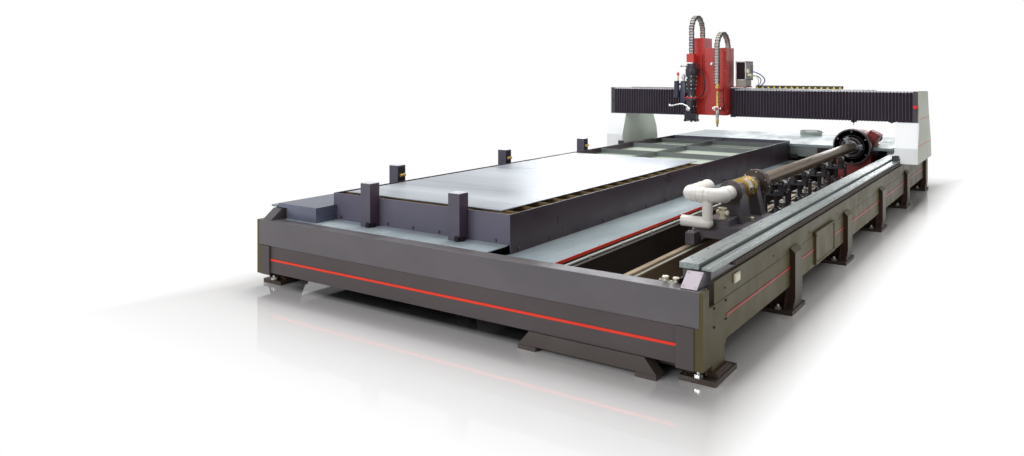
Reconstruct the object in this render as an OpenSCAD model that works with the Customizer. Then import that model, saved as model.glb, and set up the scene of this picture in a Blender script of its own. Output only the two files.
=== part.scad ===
// Gantry cutting table for sheet and tube.
// X runs across the table, Y from front to back, Z up from the floor.
// The origin is on the floor, in the middle of the table's length and width.
// Heights are above the floor. A place along Y is given as a distance back from the table's front.

/* [Table frame] */
// Length of the table, from the front corner plates to the rear deck's edge
table_len = 9000; // [8800:50:10000]
// Distance between the centre lines of the two guide rails
rail_gauge = 3620; // [3560:10:3700]
// Height of the top of the cap strips beside the guide rails
cap_top = 638; // [630:1:660]
// Width and thickness of a guide rail
rail_w = 68; // [60:1:72]
rail_t = 16; // [12:1:20]
// Width of a cap strip on the tube side, and its rise above the guide rail
cap_w = 115; // [80:1:120]
cap_rise = 18; // [14:1:22]
// Groove between a guide rail and its cap strip
groove_w = 14; // [8:1:20]
// Width of a side beam and height of its underside
side_beam_w = 164; // [150:1:180]
side_beam_z = 185; // [175:1:200]
// Wall of the box section beams
beam_wall = 8; // [6:1:12]
// Height and depth of the front and rear beams, and height of their top
end_beam_h = 195; // [180:1:210]
end_beam_d = 115; // [105:1:125]
end_beam_top = 522; // [500:1:540]
// How far the corner plates stand proud of the front beam
corner_proud = 8; // [4:1:12]
// Distance from the table's front to the ends of the side beams, and of the rails and cap strips
side_from = 183; // [178:1:195]
rail_from = 150; // [145:1:160]
// Width and thickness of a corner plate, and height of its lower edge
corner_w = 103; // [90:1:120]
corner_t = 20; // [16:1:24]
corner_z = 100; // [80:1:112]
// Thickness of the lower front and rear panels, and height of their lower edge
panel_t = 20; // [12:1:30]
panel_z = 114; // [105:1:130]
// Thickness and top of the side panels, and height of the fold across them
skirt_t = 21; // [16:1:24]
skirt_top = 545; // [520:1:560]
fold_z = 420; // [400:1:440]
fold_step = 4; // [2:1:8]
// Length of the corner legs
corner_leg = 310; // [290:5:330]
// Where the side panel ends beside the front beam, ahead of the notch
notch_from = 96; // [90:1:105]

/* [Stripes and name plate place] */
// Height, width and thickness of the front stripe
front_stripe_z = 210; // [190:1:240]
front_stripe_h = 16; // [10:1:24]
// Height of the side stripes, and thickness of all stripes
side_stripe_z = 312; // [290:1:330]
side_stripe_h = 14; // [10:1:20]
stripe_t = 4; // [2:1:6]
// Place along the side and length of the bare plate
plate_from = 2340; // [2200:10:2400]
plate_l = 620; // [500:10:700]
plate_h = 250; // [200:10:300]
plate_z = 200; // [190:1:220]
name_t = 14; // [8:1:20]

/* [Legs and feet] */
// Where the first side leg starts, and how far before the rear end the last one starts
leg_from = 1672; // [1650:2:1750]
leg_last = 488; // [480:2:500]
// Number of side legs on each side
legs = 5; // [5:1:5]
// Length of a side leg along the table, how far it stands out, and its top
leg_l = 190; // [180:2:210]
leg_out = 36; // [30:1:44]
leg_top = 456; // [430:1:480]
// Slope at the top of a side leg
leg_slope = 36; // [20:1:50]
// Inner side of the legs, measured in from the outer side of the side beam
leg_in = 119; // [100:1:130]
// Thickness of a foot plate and of the pad on it
foot_t = 30; // [25:1:35]
pad_t = 20; // [15:1:25]
// Width and length of a foot plate
foot_w = 210; // [200:1:220]
foot_l = 344; // [340:2:360]
// Width and length of the pad
pad_w = 190; // [180:1:200]
pad_l = 225; // [210:5:230]
// Radius of the anchor holes, and their distance from the plate's edges
anchor_r = 9; // [7:0.5:10]
anchor_edge = 22; // [20:1:24]
// Levelling screw: radius, width of its nut across the flats, height of its nut
level_r = 12; // [10:1:14]
level_nut = 46; // [40:1:50]
level_nut_h = 18; // [14:1:22]
// Lifting skid: where it starts and ends across the table, and its height
skid_from = 660; // [650:5:700]
skid_to = 1575; // [1540:5:1590]
skid_foot_w = 130; // [100:5:140]
// How far the skid's ends slope in towards its top
skid_slope = 75; // [60:5:90]
skid_foot_h = 26; // [20:1:30]

/* [Sheet bed] */
// Left and right outer sides of the bed
bed_left = -1356; // [-1380:1:-1340]
bed_right = 352; // [340:1:365]
// Front and rear of the bed, and its top
bed_front = 366; // [360:1:400]
bed_rear = 7186; // [7150:1:7200]
bed_top = 730; // [715:1:740]
bed_wall = 10; // [8:1:12]
// Place of the long bearer, thickness of the bearers, and height of their underside
long_bearer_x = -600; // [-640:5:-560]
bearer_t = 10; // [8:1:12]
bearer_z = 560; // [550:1:580]
// First cross bearer, and the distance from one to the next
bearer_from = 1114; // [1100:1:1130]
bearer_pitch = 931; // [920:1:940]
// How far the bare bearers' top lies under the bed's top
bearer_drop = 9; // [5:1:15]
// Slats: height, thickness, distance from one to the next, and where the last may be
slat_h = 60; // [50:1:70]
slat_t = 6; // [4:1:8]
slat_pitch = 210; // [190:5:230]
slat_from = 480; // [470:5:500]
slat_to = 4000; // [3900:10:4040]
// Ledge that carries the slats
ledge_w = 30; // [20:1:40]
ledge_t = 8; // [6:1:10]
// Slag trays: thickness, and drop under the ledge
tray_t = 4; // [3:1:6]
tray_drop = 14; // [10:1:20]
// Steel sheet on the bed
sheet_x0 = -1270; // [-1290:5:-1250]
sheet_w = 1500; // [1400:10:1560]
sheet_from = 440; // [420:5:460]
sheet_l = 3610; // [3400:10:3700]
sheet_t = 6; // [3:1:10]
// Guide posts: side of the square, top of the front ones and of the side ones
post_w = 100; // [90:1:110]
post_top = 848; // [820:1:880]
side_post_top = 866; // [840:1:890]

/* [Decks] */
// Height and thickness of the walkway beside the bed, and its outer edge
walk_z = 460; // [440:1:480]
deck_t = 8; // [6:1:12]
walk_x = 720; // [700:5:740]
// Height of the rear deck and of its turned-down front edge
rear_deck_z = 693; // [680:1:705]
rear_lip = 36; // [30:1:44]
rear_deck_from = 7145; // [7140:1:7150]
// Fume outlet in the rear deck: place across, distance from the rear edge, outer radius, wall and height
fume_x = 240; // [220:5:260]
fume_back = 200; // [190:5:220]
fume_r = 160; // [150:1:165]
fume_wall = 5; // [4:1:8]
fume_h = 70; // [50:5:100]

/* [Tube station] */
// Place across the table and height of the tube's axis
tube_x = 1183; // [1175:1:1190]
tube_z = 702; // [695:1:715]
// Tube: outer radius, wall, and distance of its front end from the table's front
tube_r = 60.5; // [57:0.5:62]
tube_wall = 6; // [4:1:8]
tube_from = 3000; // [2990:1:3010]
// Floor of the pit
pit_z = 60; // [50:1:80]
// Pit rails: distance between their centre lines, width, and top
pit_gauge = 466; // [450:2:480]
pit_rail_w = 46; // [40:1:56]
pit_rail_z = 300; // [280:1:320]
// Chuck: radius, thickness, and distance of its front face from the table's front
chuck_r = 232; // [220:1:250]
chuck_t = 96; // [90:1:100]
chuck_y = 7030; // [7020:1:7035]
// Bore through the chuck and its spindle, spindle radius
chuck_bore_r = 84; // [75:1:90]
spindle_r = 110; // [100:1:120]
// Jaws: number, width, depth and length
jaw_w = 70; // [60:1:80]
jaw_d = 62; // [50:1:70]
jaw_l = 120; // [100:1:130]
// Tail ring: radius, where it starts and how long it is
ring_r = 120; // [110:1:130]
ring_from = 2960; // [2950:1:2970]
ring_l = 90; // [84:1:100]
// Hollow tail shaft
shaft_r = 50; // [45:1:52]
shaft_bore_r = 40; // [35:1:42]
shaft_from = 2262; // [2255:1:2270]
// Tail stock: front and rear of its base, and the front faces of the two shaft brackets
tail_from = 2040; // [2030:1:2050]
tail_l = 940; // [930:1:960]
bracket_1 = 2350; // [2345:1:2360]
bracket_2 = 2806; // [2800:1:2812]
// Fume pipe: radius, bend radius, place of its cross run, and straight length of the run
pipe_r = 58; // [54:1:62]
pipe_bend = 82; // [78:1:90]
pipe_y = 2090; // [2080:1:2095]
pipe_run = 108; // [100:1:115]
// Tube supports: first, distance and roller size
support_from = 3640; // [3600:10:3700]
support_pitch = 830; // [800:10:850]
supports = 4; // [3:1:4]
roller_r = 34; // [30:1:38]
roller_l = 90; // [80:1:100]
roller_angle = 38; // [34:1:42]
// How far the tube supports can be lowered
lift_stroke = 120; // [100:5:125]

/* [Gantry] */
// How far the gantry's side plates stand outside the centre lines of the guide rails
gantry_over = 238; // [230:1:250]
side_plate_t = 12; // [10:1:16]
// Width of a leg cover
cover_w = 251; // [248:1:260]
cover_t = 4; // [3:1:5]
// Leg cover's underside inside and outside the rail
cover_in_z = 648; // [646:1:655]
cover_out_z = 590; // [584:1:600]
// Gantry beam: underside, height, front face and depth
beam_z = 1100; // [1095:1:1110]
beam_h = 340; // [330:1:345]
beam_y = 6520; // [6518:1:6525]
beam_d = 420; // [400:5:440]
// Bellows: underside, height, front face, depth and pleat length
bellows_z = 1077; // [1072:1:1080]
bellows_h = 374; // [370:1:378]
bellows_y = 6457; // [6455:1:6460]
bellows_d = 40; // [36:1:41]
pleat = 38; // [34:1:42]
pleat_in = 14; // [10:1:18]
// Linear rails on the beam: width, thickness, heights of the two
lin_w = 34; // [30:1:40]
lin_t = 20; // [16:1:20]
lin_low = 1166; // [1160:1:1175]
lin_high = 1380; // [1370:1:1390]
// Travel drive: gear module, teeth, place of the pinions
gear_m = 8; // [8:1:8]
gear_n = 18; // [18:1:18]
pinion_y = 6975; // [6960:1:6990]
// Rack segments per side, and teeth in each
rack_segments = 8; // [8:1:8]
rack_teeth = 40; // [40:1:40]

/* [Carriage and cutting heads] */
// Left and right sides of the carriage
car_left = -698; // [-705:1:-690]
car_right = -232; // [-240:1:-226]
// Right side of the tall column
column_split = -540; // [-550:1:-530]
// Top of the tall column, how much lower the other one is, and their underside
column_tall = 2143; // [2120:1:2160]
column_drop = 138; // [130:1:150]
column_z = 1100; // [1090:1:1110]
// Front face of the columns
column_y = 6280; // [6275:1:6285]
// Rear of the columns above the beam
column_rear = 6580; // [6570:1:6590]
// Axis of both cutting heads, measured from the table's front
head_y = 6100; // [6095:1:6105]
// Plasma head: place across, height of the tilt axis, height of the tip
plasma_x = -650; // [-655:1:-645]
tilt_z = 1192; // [1188:1:1196]
plasma_tip = 1009; // [1005:1:1012]
// Plasma torch body radius
torch_r = 60; // [50:1:62]
// Oxygen torch: place across, radius, height of its tip
oxy_x = -291; // [-295:1:-288]
oxy_r = 18; // [15:1:20]
oxy_tip = 955; // [950:1:960]
oxy_top = 1521; // [1500:1:1540]
// Chain loops: half width, half thickness and link length
chain_w = 62; // [56:1:66]
chain_t = 42; // [36:1:46]
link_l = 38; // [34:1:42]
// Straight length of the two chain loops above their columns
loop_left_leg = 106; // [90:1:130]
loop_right_leg = 22; // [20:1:30]
// Drive box on the carriage
drive_x = -96; // [-100:1:-90]
drive_w = 140; // [130:1:144]
drive_y = 6457; // [6455:1:6465]
drive_d = 300; // [290:1:320]
drive_z = 1570; // [1560:1:1580]
drive_h = 255; // [240:1:270]

/* [Hidden] */
$fn = 48;
// Clearances between pieces that slide, and between a turning shaft and its bore
slide_gap = 0.3;
turn_gap = 0.08;
// Guide rails, side beams and what lines up with them
rail_x = rail_gauge / 2;
rail_in = rail_x - rail_w / 2;
rail_out = rail_x + rail_w / 2;
rail_top = cap_top - cap_rise;
side_top = rail_top - rail_t;
cap_out = rail_in - groove_w;
cap_in = cap_out - cap_w;
side_out = rail_x + 9;
side_in = side_out - side_beam_w;
skirt_out = side_out + skirt_t;
rear = table_len;
beam_front = corner_proud;
beam_rear = beam_front + end_beam_d;
end_beam_z = end_beam_top - end_beam_h;
panel_half = side_out - 29;
pad_top = foot_t + pad_t;
foot_x = skirt_out + leg_out - foot_w / 2;
leg_pitch = (rear - leg_last - leg_from) / (legs - 1);
leg_starts = [for (i = [0 : legs - 1]) leg_from + i * leg_pitch];
corner_foot = foot_l / 2 + 97;
foot_ys = concat([corner_foot], [for (y = leg_starts) y + leg_l / 2]);
// Sheet bed
long_x = [long_bearer_x - bearer_t / 2, long_bearer_x + bearer_t / 2];
in_left = bed_left + bed_wall;
in_right = bed_right - bed_wall;
in_front = bed_front + bed_wall;
in_rear = bed_rear - bed_wall;
bearer_top = bed_top - bearer_drop;
slat_z = bed_top - slat_h;
ledge_z = slat_z - ledge_t;
tray_z = ledge_z - tray_drop;
bearer_n = floor((in_rear - bearer_from - 100) / bearer_pitch);
cross_ys = [for (i = [0 : bearer_n]) bearer_from + i * bearer_pitch];
// Pit and tube station
pit_rear = rear_deck_from - 5;
fume_y = rear - fume_back;
chuck_rear = chuck_y + chuck_t;
head_front = chuck_rear + 14;
head_rear = head_front + 540;
ring_end = ring_from + ring_l;
support_ys = [for (i = [0 : supports - 1]) support_from + i * support_pitch];
roller_reach = tube_r + roller_r + slide_gap;
roller_dx = roller_reach * sin(roller_angle);
roller_z = tube_z - roller_reach * cos(roller_angle);
cradle_top = roller_z - 6;
cradle_z = cradle_top - 110;
guide_dx = 104;
// Gears
pitch_r = gear_m * gear_n / 2;
tooth_pitch = PI * gear_m;
rack_body = 15;
rack_h = 28;
rack_z = side_top - rack_h - 2;
rack_line = side_out + rack_body + 1.25 * gear_m;
pinion_x = rack_line + pitch_r;
x_gear_m = 6;
x_pitch_r = x_gear_m * gear_n / 2;
x_rack_y = beam_y + 40;
x_rack_line = x_rack_y + 12 + 1.25 * x_gear_m;
x_pinion_y = x_rack_line + x_pitch_r;
x_rack_h = 24;
x_rack_teeth = 176;
// Gantry
gantry_half = rail_x + gantry_over;
beam_half = gantry_half - side_plate_t;
beam_top = beam_z + beam_h;
cover_x = gantry_half - cover_w;
truck_z = cover_in_z - 3;
truck_plate_t = 30;
leg_front = 6560;
leg_y = [leg_front, leg_front + 280];
strut_y = [leg_front + 560, leg_front + 740];
end_panel = 56;
button_x = beam_half - end_panel / 2;
button_z = 1262;
// Carriage
top_plate_z = beam_top + 32;
top_plate_t = 12;
plate_y = 6400;
plate_t = 50;
block_y = plate_y + plate_t;
column_low = column_tall - column_drop;
plate_top = column_low - 15;
slide_top = column_tall - 218;
// Cutting heads
slide_t = 30;
ring_arm_z = 1640;
head_body_r = 56;
spindle_top = 1795;

// Distance back from the table's front, as a Y coordinate
function fy(d) = d - table_len / 2;

// Box between pairs of limits, with y measured back from the table's front
module block(x, y, z)
    translate([x[0], fy(y[0]), z[0]]) cube([x[1] - x[0], y[1] - y[0], z[1] - z[0]]);

// Box beam with closed ends
module box_beam(x, y, z, wall)
    difference() {
        block(x, y, z);
        block([x[0] + wall, x[1] - wall], [y[0] + wall, y[1] - wall], [z[0] + wall, z[1] - wall]);
    }

// The same piece on the right and, mirrored, on the left
module both_sides() {
    children();
    mirror([1, 0, 0]) children();
}

// The same piece at the front and, turned round, at the rear
module both_ends() {
    children();
    mirror([0, 1, 0]) children();
}

// Plate cut from an outline in Y and Z, between two X limits
module side_plate(x, points)
    translate([x[0], 0, 0]) rotate([90, 0, 90])
        linear_extrude(x[1] - x[0]) polygon([for (p = points) [fy(p[0]), p[1]]]);

// Bar with an outline in X and Z, between two Y limits
module long_bar(y, points)
    translate([0, fy(y[1]), 0]) rotate([90, 0, 0]) linear_extrude(y[1] - y[0]) polygon(points);

// Cylinder along Y
module y_cyl(x, z, y, r)
    translate([x, fy(y[1]), z]) rotate([90, 0, 0]) cylinder(r = r, h = y[1] - y[0]);

// Upright cylinder
module z_cyl(x, y, z, r)
    translate([x, fy(y), z[0]]) cylinder(r = r, h = z[1] - z[0]);

// Outline of a rack, teeth pointing along +Y, its pitch line at y = 0, centred on x = 0
function rack_outline(m, teeth, body) =
    let (p = PI * m, top = m, root = -1.25 * m, half = p / 4 - 0.25, s = tan(20))
    concat(
        [[teeth * p / 2, root - body], [teeth * p / 2, root]],
        [for (i = [teeth - 1 : -1 : 0]) let (c = (i + 0.5 - teeth / 2) * p)
            each [[c + half - s * root, root], [c + half - s * top, top],
                  [c - half + s * top, top], [c - half + s * root, root]]],
        [[-teeth * p / 2, root], [-teeth * p / 2, root - body]]);

// Point of an involute on base radius rb, at radius r, on the side given by sgn
function involute_angle(rb, r) = let (a = acos(rb / r)) tan(a) * 180 / PI - a;
function tooth_side(rb, rs, half, sgn, turn) =
    [for (r = rs) let (a = turn + sgn * (half - involute_angle(rb, max(r, rb)))) [r * cos(a), r * sin(a)]];

// Outline of a spur gear with a tooth on the -X side
function gear_outline(m, n) =
    let (rp = m * n / 2, rb = rp * cos(20), root = rp - 1.25 * m, tip = rp + m - 0.3,
         half = 90 / n + involute_angle(rb, rp) - 0.25,
         up = [root, rb + 0.2, (rb + rp) / 2 + 1, rp + m / 3, tip],
         down = [tip, rp + m / 3, (rb + rp) / 2 + 1, rb + 0.2, root])
    [for (k = [0 : n - 1]) let (t = 180 + k * 360 / n)
        each concat(tooth_side(rb, up, half, -1, t), tooth_side(rb, down, half, 1, t))];

// Chain loop over a half circle in Y and Z, leaning from x0 on the near leg to x1 on the far leg
module chain_loop(x0, x1, near_y, far_y, near_z, far_z, top) {
    r = (far_y - near_y) / 2;
    centre_z = top - r - chain_t / 2;
    arc = PI * r;
    near_l = centre_z - near_z;
    far_l = centre_z - far_z;
    total = near_l + arc + far_l;
    links = ceil(total / link_l);
    for (i = [0 : links - 1]) {
        s = (i + 0.5) * total / links;
        u = s - near_l;
        lap = i == 0 || i == links - 1 ? 0 : (i % 2 == 0 ? 0.6 : 4);
        bend = max(0, min(180, u / arc * 180));
        y = near_y + r - r * cos(bend);
        z = u < 0 ? near_z + s : (u > arc ? centre_z - (u - arc) : centre_z + r * sin(bend));
        translate([x0 + (x1 - x0) * bend / 180, fy(y), z]) rotate([-bend, 0, 0])
            cube([chain_w, chain_t, total / links + lap], center = true);
    }
}

module end_beams() color("#5d5a5c") both_ends()
    box_beam([-side_out, side_out], [beam_front, beam_rear], [end_beam_z, end_beam_top], beam_wall);

module skirt_panels() color("#57564f") {
    both_ends() {
        block([-panel_half, panel_half], [corner_t, corner_t + panel_t], [panel_z, end_beam_z]);
        both_sides()
            block([panel_half - corner_w, panel_half], [0, corner_t], [corner_z, end_beam_z]);
        // Returns that close the corners
        both_sides()
            block([panel_half, side_out], [beam_front, beam_front + corner_t], [corner_z, end_beam_z]);
    }
    leg = corner_t + corner_leg;
    both_sides() {
        side_plate([side_out, skirt_out], [
            [beam_front, corner_z], [leg - 185, corner_z], [leg - 185, pad_top],
            [leg, pad_top], [leg, 148], [leg + 40, side_beam_z],
            [rear - beam_front, side_beam_z], [rear - beam_front, end_beam_top],
            [rear - notch_from, end_beam_top], [rear - notch_from, fold_z],
            [notch_from, fold_z], [notch_from, end_beam_top], [beam_front, end_beam_top]]);
        block([side_out, skirt_out - fold_step], [side_from, rear - side_from], [fold_z, skirt_top]);
    }
}

module red_stripes() color("#d8402c") {
    both_ends()
        block([corner_w - panel_half, panel_half - corner_w], [corner_t - stripe_t, corner_t],
            [front_stripe_z, front_stripe_z + front_stripe_h]);
    starts = concat([corner_t + corner_leg + 35], [for (y = leg_starts) y + leg_l]);
    ends = concat(leg_starts, [rear - corner_t - 10]);
    both_sides() for (i = [0 : legs - 1])
        difference() {
            block([skirt_out, skirt_out + stripe_t], [starts[i], ends[i]],
                [side_stripe_z, side_stripe_z + side_stripe_h]);
            block([skirt_out - 1, skirt_out + stripe_t + 1], [plate_from, plate_from + plate_l],
                [side_stripe_z - 1, side_stripe_z + side_stripe_h + 1]);
        }
    block([walk_x, walk_x + stripe_t], [beam_rear + 8, pit_rear], [walk_z - deck_t - 10, walk_z + 2]);
}

module side_legs() color("#4c4a44") both_sides() {
    x0 = side_out - leg_in;
    x1 = skirt_out + leg_out;
    for (y = leg_starts)
        long_bar([y, y + leg_l], [[x0, pad_top], [x1 - 10, pad_top], [x1, pad_top + 60],
            [x1, leg_top - leg_slope], [skirt_out, leg_top], [skirt_out, side_beam_z], [x0, side_beam_z]]);
    leg = corner_t + corner_leg;
    block([x0, side_out], [leg - 185, leg], [pad_top, side_beam_z]);
}

module blank_plate() color("#66645a") both_sides()
    block([skirt_out, skirt_out + name_t], [plate_from, plate_from + plate_l], [plate_z, plate_z + plate_h]);

module side_beams() color("#5b5b5c") {
    both_sides() box_beam([side_in, side_out], [side_from, rear - side_from], [side_beam_z, side_top], beam_wall);
    // Slanted gussets from the beams' ends down to the front and rear beams
    both_ends() both_sides()
        side_plate([cap_in + 55, cap_in + 152], [[side_from, end_beam_top], [beam_front + 20, end_beam_top],
            [side_from - 50, side_top - 4], [side_from, side_top - 4]]);
}

module guide_rails() color("#9fb0b4") {
    both_sides() block([rail_in, rail_out], [rail_from, rear - rail_from], [side_top, rail_top]);
    block([cap_in, cap_out], [rail_from, rear - rail_from], [side_top, cap_top]);
    // The left cap strip is a wide shelf that reaches the bed
    long_bar([rail_from, rear - rail_from], [[-cap_out, side_top], [-cap_out, cap_top], [bed_left, cap_top],
        [bed_left, end_beam_top], [-side_in, end_beam_top], [-side_in, side_top]]);
    block([bed_left, bed_left + 36], [rail_from, bed_front], [end_beam_top, cap_top]);
}

module gear_racks() color("#6f6a64") both_sides() {
    seg = rack_teeth * tooth_pitch;
    first = pinion_y - tooth_pitch * floor((pinion_y - 480) / tooth_pitch);
    for (i = [0 : rack_segments - 1])
        translate([rack_line, fy(first + (i + 0.5) * seg), rack_z]) rotate([0, 0, -90])
            linear_extrude(rack_h) polygon(rack_outline(gear_m, rack_teeth, rack_body));
}

module foot_plates() color("#3b332c") both_sides() for (y = foot_ys) difference() {
    union() {
        block([foot_x - foot_w / 2, foot_x + foot_w / 2], [y - foot_l / 2, y + foot_l / 2], [0, foot_t]);
        block([foot_x - pad_w / 2, foot_x + pad_w / 2], [y - pad_l / 2, y + pad_l / 2], [foot_t, pad_top]);
    }
    for (sx = [-1, 1], sy = [-1, 1])
        z_cyl(foot_x + sx * (foot_w / 2 - anchor_edge), y + sy * (foot_l / 2 - anchor_edge), [-1, foot_t + 1],
            anchor_r);
    for (sy = [-1, 1])
        z_cyl(foot_x, y + sy * (foot_l / 2 - anchor_edge), [foot_t / 2, foot_t + 1], level_r + turn_gap);
}

module levelling_screws() color("#b9bcbc") both_sides() for (y = foot_ys, sy = [-1, 1]) {
    at = y + sy * (foot_l / 2 - anchor_edge);
    z_cyl(foot_x, at, [foot_t / 2, foot_t + level_nut_h + 16], level_r);
    translate([foot_x, fy(at), foot_t]) difference() {
        cylinder(r = level_nut / 2 / cos(30), h = level_nut_h, $fn = 6);
        translate([0, 0, -1]) cylinder(r = level_r, h = level_nut_h + 2);
    }
}

module lifting_skid() color("#4a4541") both_ends() {
    low = skid_foot_h;
    y = [8, corner_t + panel_t + 60];
    long_bar(y, [[skid_from, low], [skid_to, low], [skid_to - skid_slope, panel_z],
        [skid_from + skid_slope, panel_z]]);
    for (x = [skid_from, skid_to - skid_foot_w])
        block([x, x + skid_foot_w], [y[0] - 8, y[1] + 10], [0, low]);
    // Upright straps tie the skid to the front beam
    for (x = [skid_from + skid_slope, skid_to - skid_slope - skid_foot_w])
        block([x, x + skid_foot_w], [corner_t + panel_t, y[1]], [panel_z, end_beam_z]);
}

module bed_walls() color("#4a474c") {
    block([bed_left, bed_right], [bed_front, in_front], [end_beam_top, bed_top]);
    block([bed_left, bed_right], [in_rear, bed_rear], [walk_z, bed_top]);
    block([in_right, bed_right], [in_front, in_rear], [walk_z, bed_top]);
    block([bed_left, in_left], [in_front, in_rear], [walk_z, bed_top]);
}

module bed_bearers() color("#5f6668") {
    open_from = slat_to + 60;
    block(long_x, [in_front, open_from], [bearer_z, ledge_z]);
    block(long_x, [open_from, in_rear], [bearer_z, bearer_top]);
    for (y = cross_ys) {
        top = y < open_from ? ledge_z : bearer_top;
        for (x = [[in_left, long_x[0]], [long_x[1], in_right]])
            block(x, [y, y + bearer_t], [bearer_z, top]);
    }
    // Ledges for the slats along the walls and on the long bearer
    for (x = [[in_left, in_left + ledge_w], [in_right - ledge_w, in_right],
              [long_bearer_x - ledge_w, long_bearer_x + ledge_w]])
        block(x, [in_front, open_from], [ledge_z, slat_z]);
    // Stools under the long bearer, on the floor inside the bed
    for (y = [for (i = [0 : 2 : bearer_n]) cross_ys[i]])
        block([long_bearer_x - 60, long_bearer_x + 60], [y - 50, y + 60], [0, bearer_z]);
}

module slats() color("#8c8064") {
    n = floor((slat_to - slat_from) / slat_pitch);
    for (i = [0 : n]) {
        y = slat_from + i * slat_pitch;
        block([in_left, in_right], [y, y + slat_t], [slat_z, bed_top]);
    }
}

module slag_trays() color("#b4c0b2") {
    ys = concat([in_front - bearer_t], cross_ys, [in_rear]);
    for (i = [0 : len(ys) - 2], x = [[in_left, long_x[0]], [long_x[1], in_right]])
        difference() {
            block(x, [ys[i] + bearer_t, ys[i + 1]], [tray_z, tray_z + tray_t + 10]);
            block([x[0] + tray_t, x[1] - tray_t], [ys[i] + bearer_t + tray_t, ys[i + 1] - tray_t],
                [tray_z + tray_t, tray_z + 20]);
        }
}

module steel_sheet() color("#c9d3d8")
    block([sheet_x0, sheet_x0 + sheet_w], [sheet_from, sheet_from + sheet_l], [bed_top, bed_top + sheet_t]);

module guide_posts() color("#565a66") {
    for (x = [-104, -956])
        block([x, x + post_w], [bed_front - post_w, bed_front], [end_beam_top, post_top]);
    for (y = [1108, 2754, 4417])
        block([bed_left - post_w, bed_left], [y, y + post_w], [cap_top, side_post_top]);
}

module deck_plates() color("#7f938f") {
    // Front deck between the front beam and the bed
    block([-side_in, bed_right - 22], [beam_rear, in_front], [end_beam_top - deck_t, end_beam_top]);
    // Walkway beside the bed
    block([bed_right - 22, walk_x], [beam_rear, pit_rear], [walk_z - deck_t, walk_z]);
    // Rear deck, cut out round the headstock and the fume outlet
    difference() {
        union() {
            block([bed_left - 180, side_in - 5], [bed_rear, rear], [rear_deck_z - deck_t, rear_deck_z]);
            block([bed_right, side_in - 5], [rear_deck_from, bed_rear], [rear_deck_z - deck_t, rear_deck_z]);
            block([bed_right, side_in - 5], [rear_deck_from, rear_deck_from + deck_t],
                [rear_deck_z - rear_lip, rear_deck_z]);
        }
        block([tube_x - 235, tube_x + 235], [rear_deck_from - 1, head_rear + 20], [0, rear_deck_z + 1]);
        z_cyl(fume_x, fume_y, [0, rear_deck_z + 1], fume_r + slide_gap);
    }
}

module fume_duct() color("#8d9894") {
    top = rear_deck_z - deck_t;
    difference() {
        union() {
            box_beam([bed_left, walk_x - 8], [bed_rear, rear - 8], [end_beam_top, top], 6);
            z_cyl(fume_x, fume_y, [top - 6, rear_deck_z + fume_h], fume_r);
        }
        z_cyl(fume_x, fume_y, [top - 20, rear_deck_z + fume_h + 1], fume_r - fume_wall);
    }
}

// Brackets that carry the right half of the rear deck between the duct and the cap strip
module deck_brackets() color("#7b8682") {
    top = rear_deck_z - deck_t;
    for (y = [head_rear + 40, rear - 240])
        block([walk_x - 8, cap_in - 60], [y, y + 60], [top - 60, top]);
    block([cap_in - 60, cap_in], [rear_deck_from + 20, rear - 180], [side_top + 2, top]);
}

module pit_trough() color("#35302c") {
    top = walk_z - deck_t;
    y = [beam_rear, pit_rear + 560];
    block([walk_x - 8, walk_x], y, [pit_z, top]);
    block([walk_x, side_in - 8], y, [pit_z, pit_z + 8]);
    block([side_in - 8, side_in], y, [pit_z, side_top - 60]);
    block([walk_x, side_in - 8], [y[0], y[0] + 8], [pit_z + 8, end_beam_top - 30]);
    block([walk_x, side_in - 8], [y[1] - 8, y[1]], [pit_z + 8, side_top - 60]);
    // Conduit ledge under the walkway's edge
    block([walk_x, walk_x + 60], [y[0] + 8, pit_rear], [top - 44, top - 38]);
}

module pit_rails() color("#8a7a62") for (s = [-1, 1]) {
    x = tube_x + s * pit_gauge / 2;
    y = [beam_rear + 8, head_front + 20];
    block([x - pit_rail_w, x + pit_rail_w], y, [pit_z + 8, pit_rail_z - 22]);
    block([x - pit_rail_w / 2, x + pit_rail_w / 2], y, [pit_rail_z - 22, pit_rail_z]);
}

module headstock() color("#7d2f2b") difference() {
    union() {
        block([tube_x - 215, tube_x + 215], [head_front, head_rear], [pit_rail_z, tube_z + 90]);
        y_cyl(tube_x, tube_z, [head_front, head_rear], 188);
        // Gearbox and motor of the chuck drive, turned a little on its flange
        translate([tube_x + 206, fy(head_front + 190), tube_z + 96]) rotate([0, 28, 0])
            cube([140, 220, 190], center = true);
        block([tube_x - 215, tube_x + 215], [head_front + 40, head_rear], [pit_z + 8, pit_rail_z]);
    }
    y_cyl(tube_x, tube_z, [head_front - 1, head_rear + 1], spindle_r + turn_gap);
}

module chuck_body() color("#26221f") difference() {
    union() {
        y_cyl(tube_x, tube_z, [chuck_y, chuck_rear], chuck_r);
        y_cyl(tube_x, tube_z, [chuck_y - 26, chuck_y], chuck_r * 0.56);
        y_cyl(tube_x, tube_z, [chuck_rear, head_rear - 10], spindle_r);
    }
    y_cyl(tube_x, tube_z, [chuck_y - 30, head_rear], chuck_bore_r);
    for (k = [0 : 2]) rotate_about_tube(k * 120)
        block([tube_x + tube_r - 5, tube_x + 181], [chuck_y - 30, chuck_y - 14],
            [tube_z - jaw_w / 2 - slide_gap, tube_z + jaw_w / 2 + slide_gap]);
    // Shallow groove round the rim
    difference() {
        y_cyl(tube_x, tube_z, [chuck_y + 60, chuck_y + 72], chuck_r + 1);
        y_cyl(tube_x, tube_z, [chuck_y + 58, chuck_y + 74], chuck_r - 8);
    }
}

// Turn what follows about the tube's axis
module rotate_about_tube(angle)
    translate([tube_x, 0, tube_z]) rotate([0, angle, 0]) translate([-tube_x, 0, -tube_z]) children();

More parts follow.
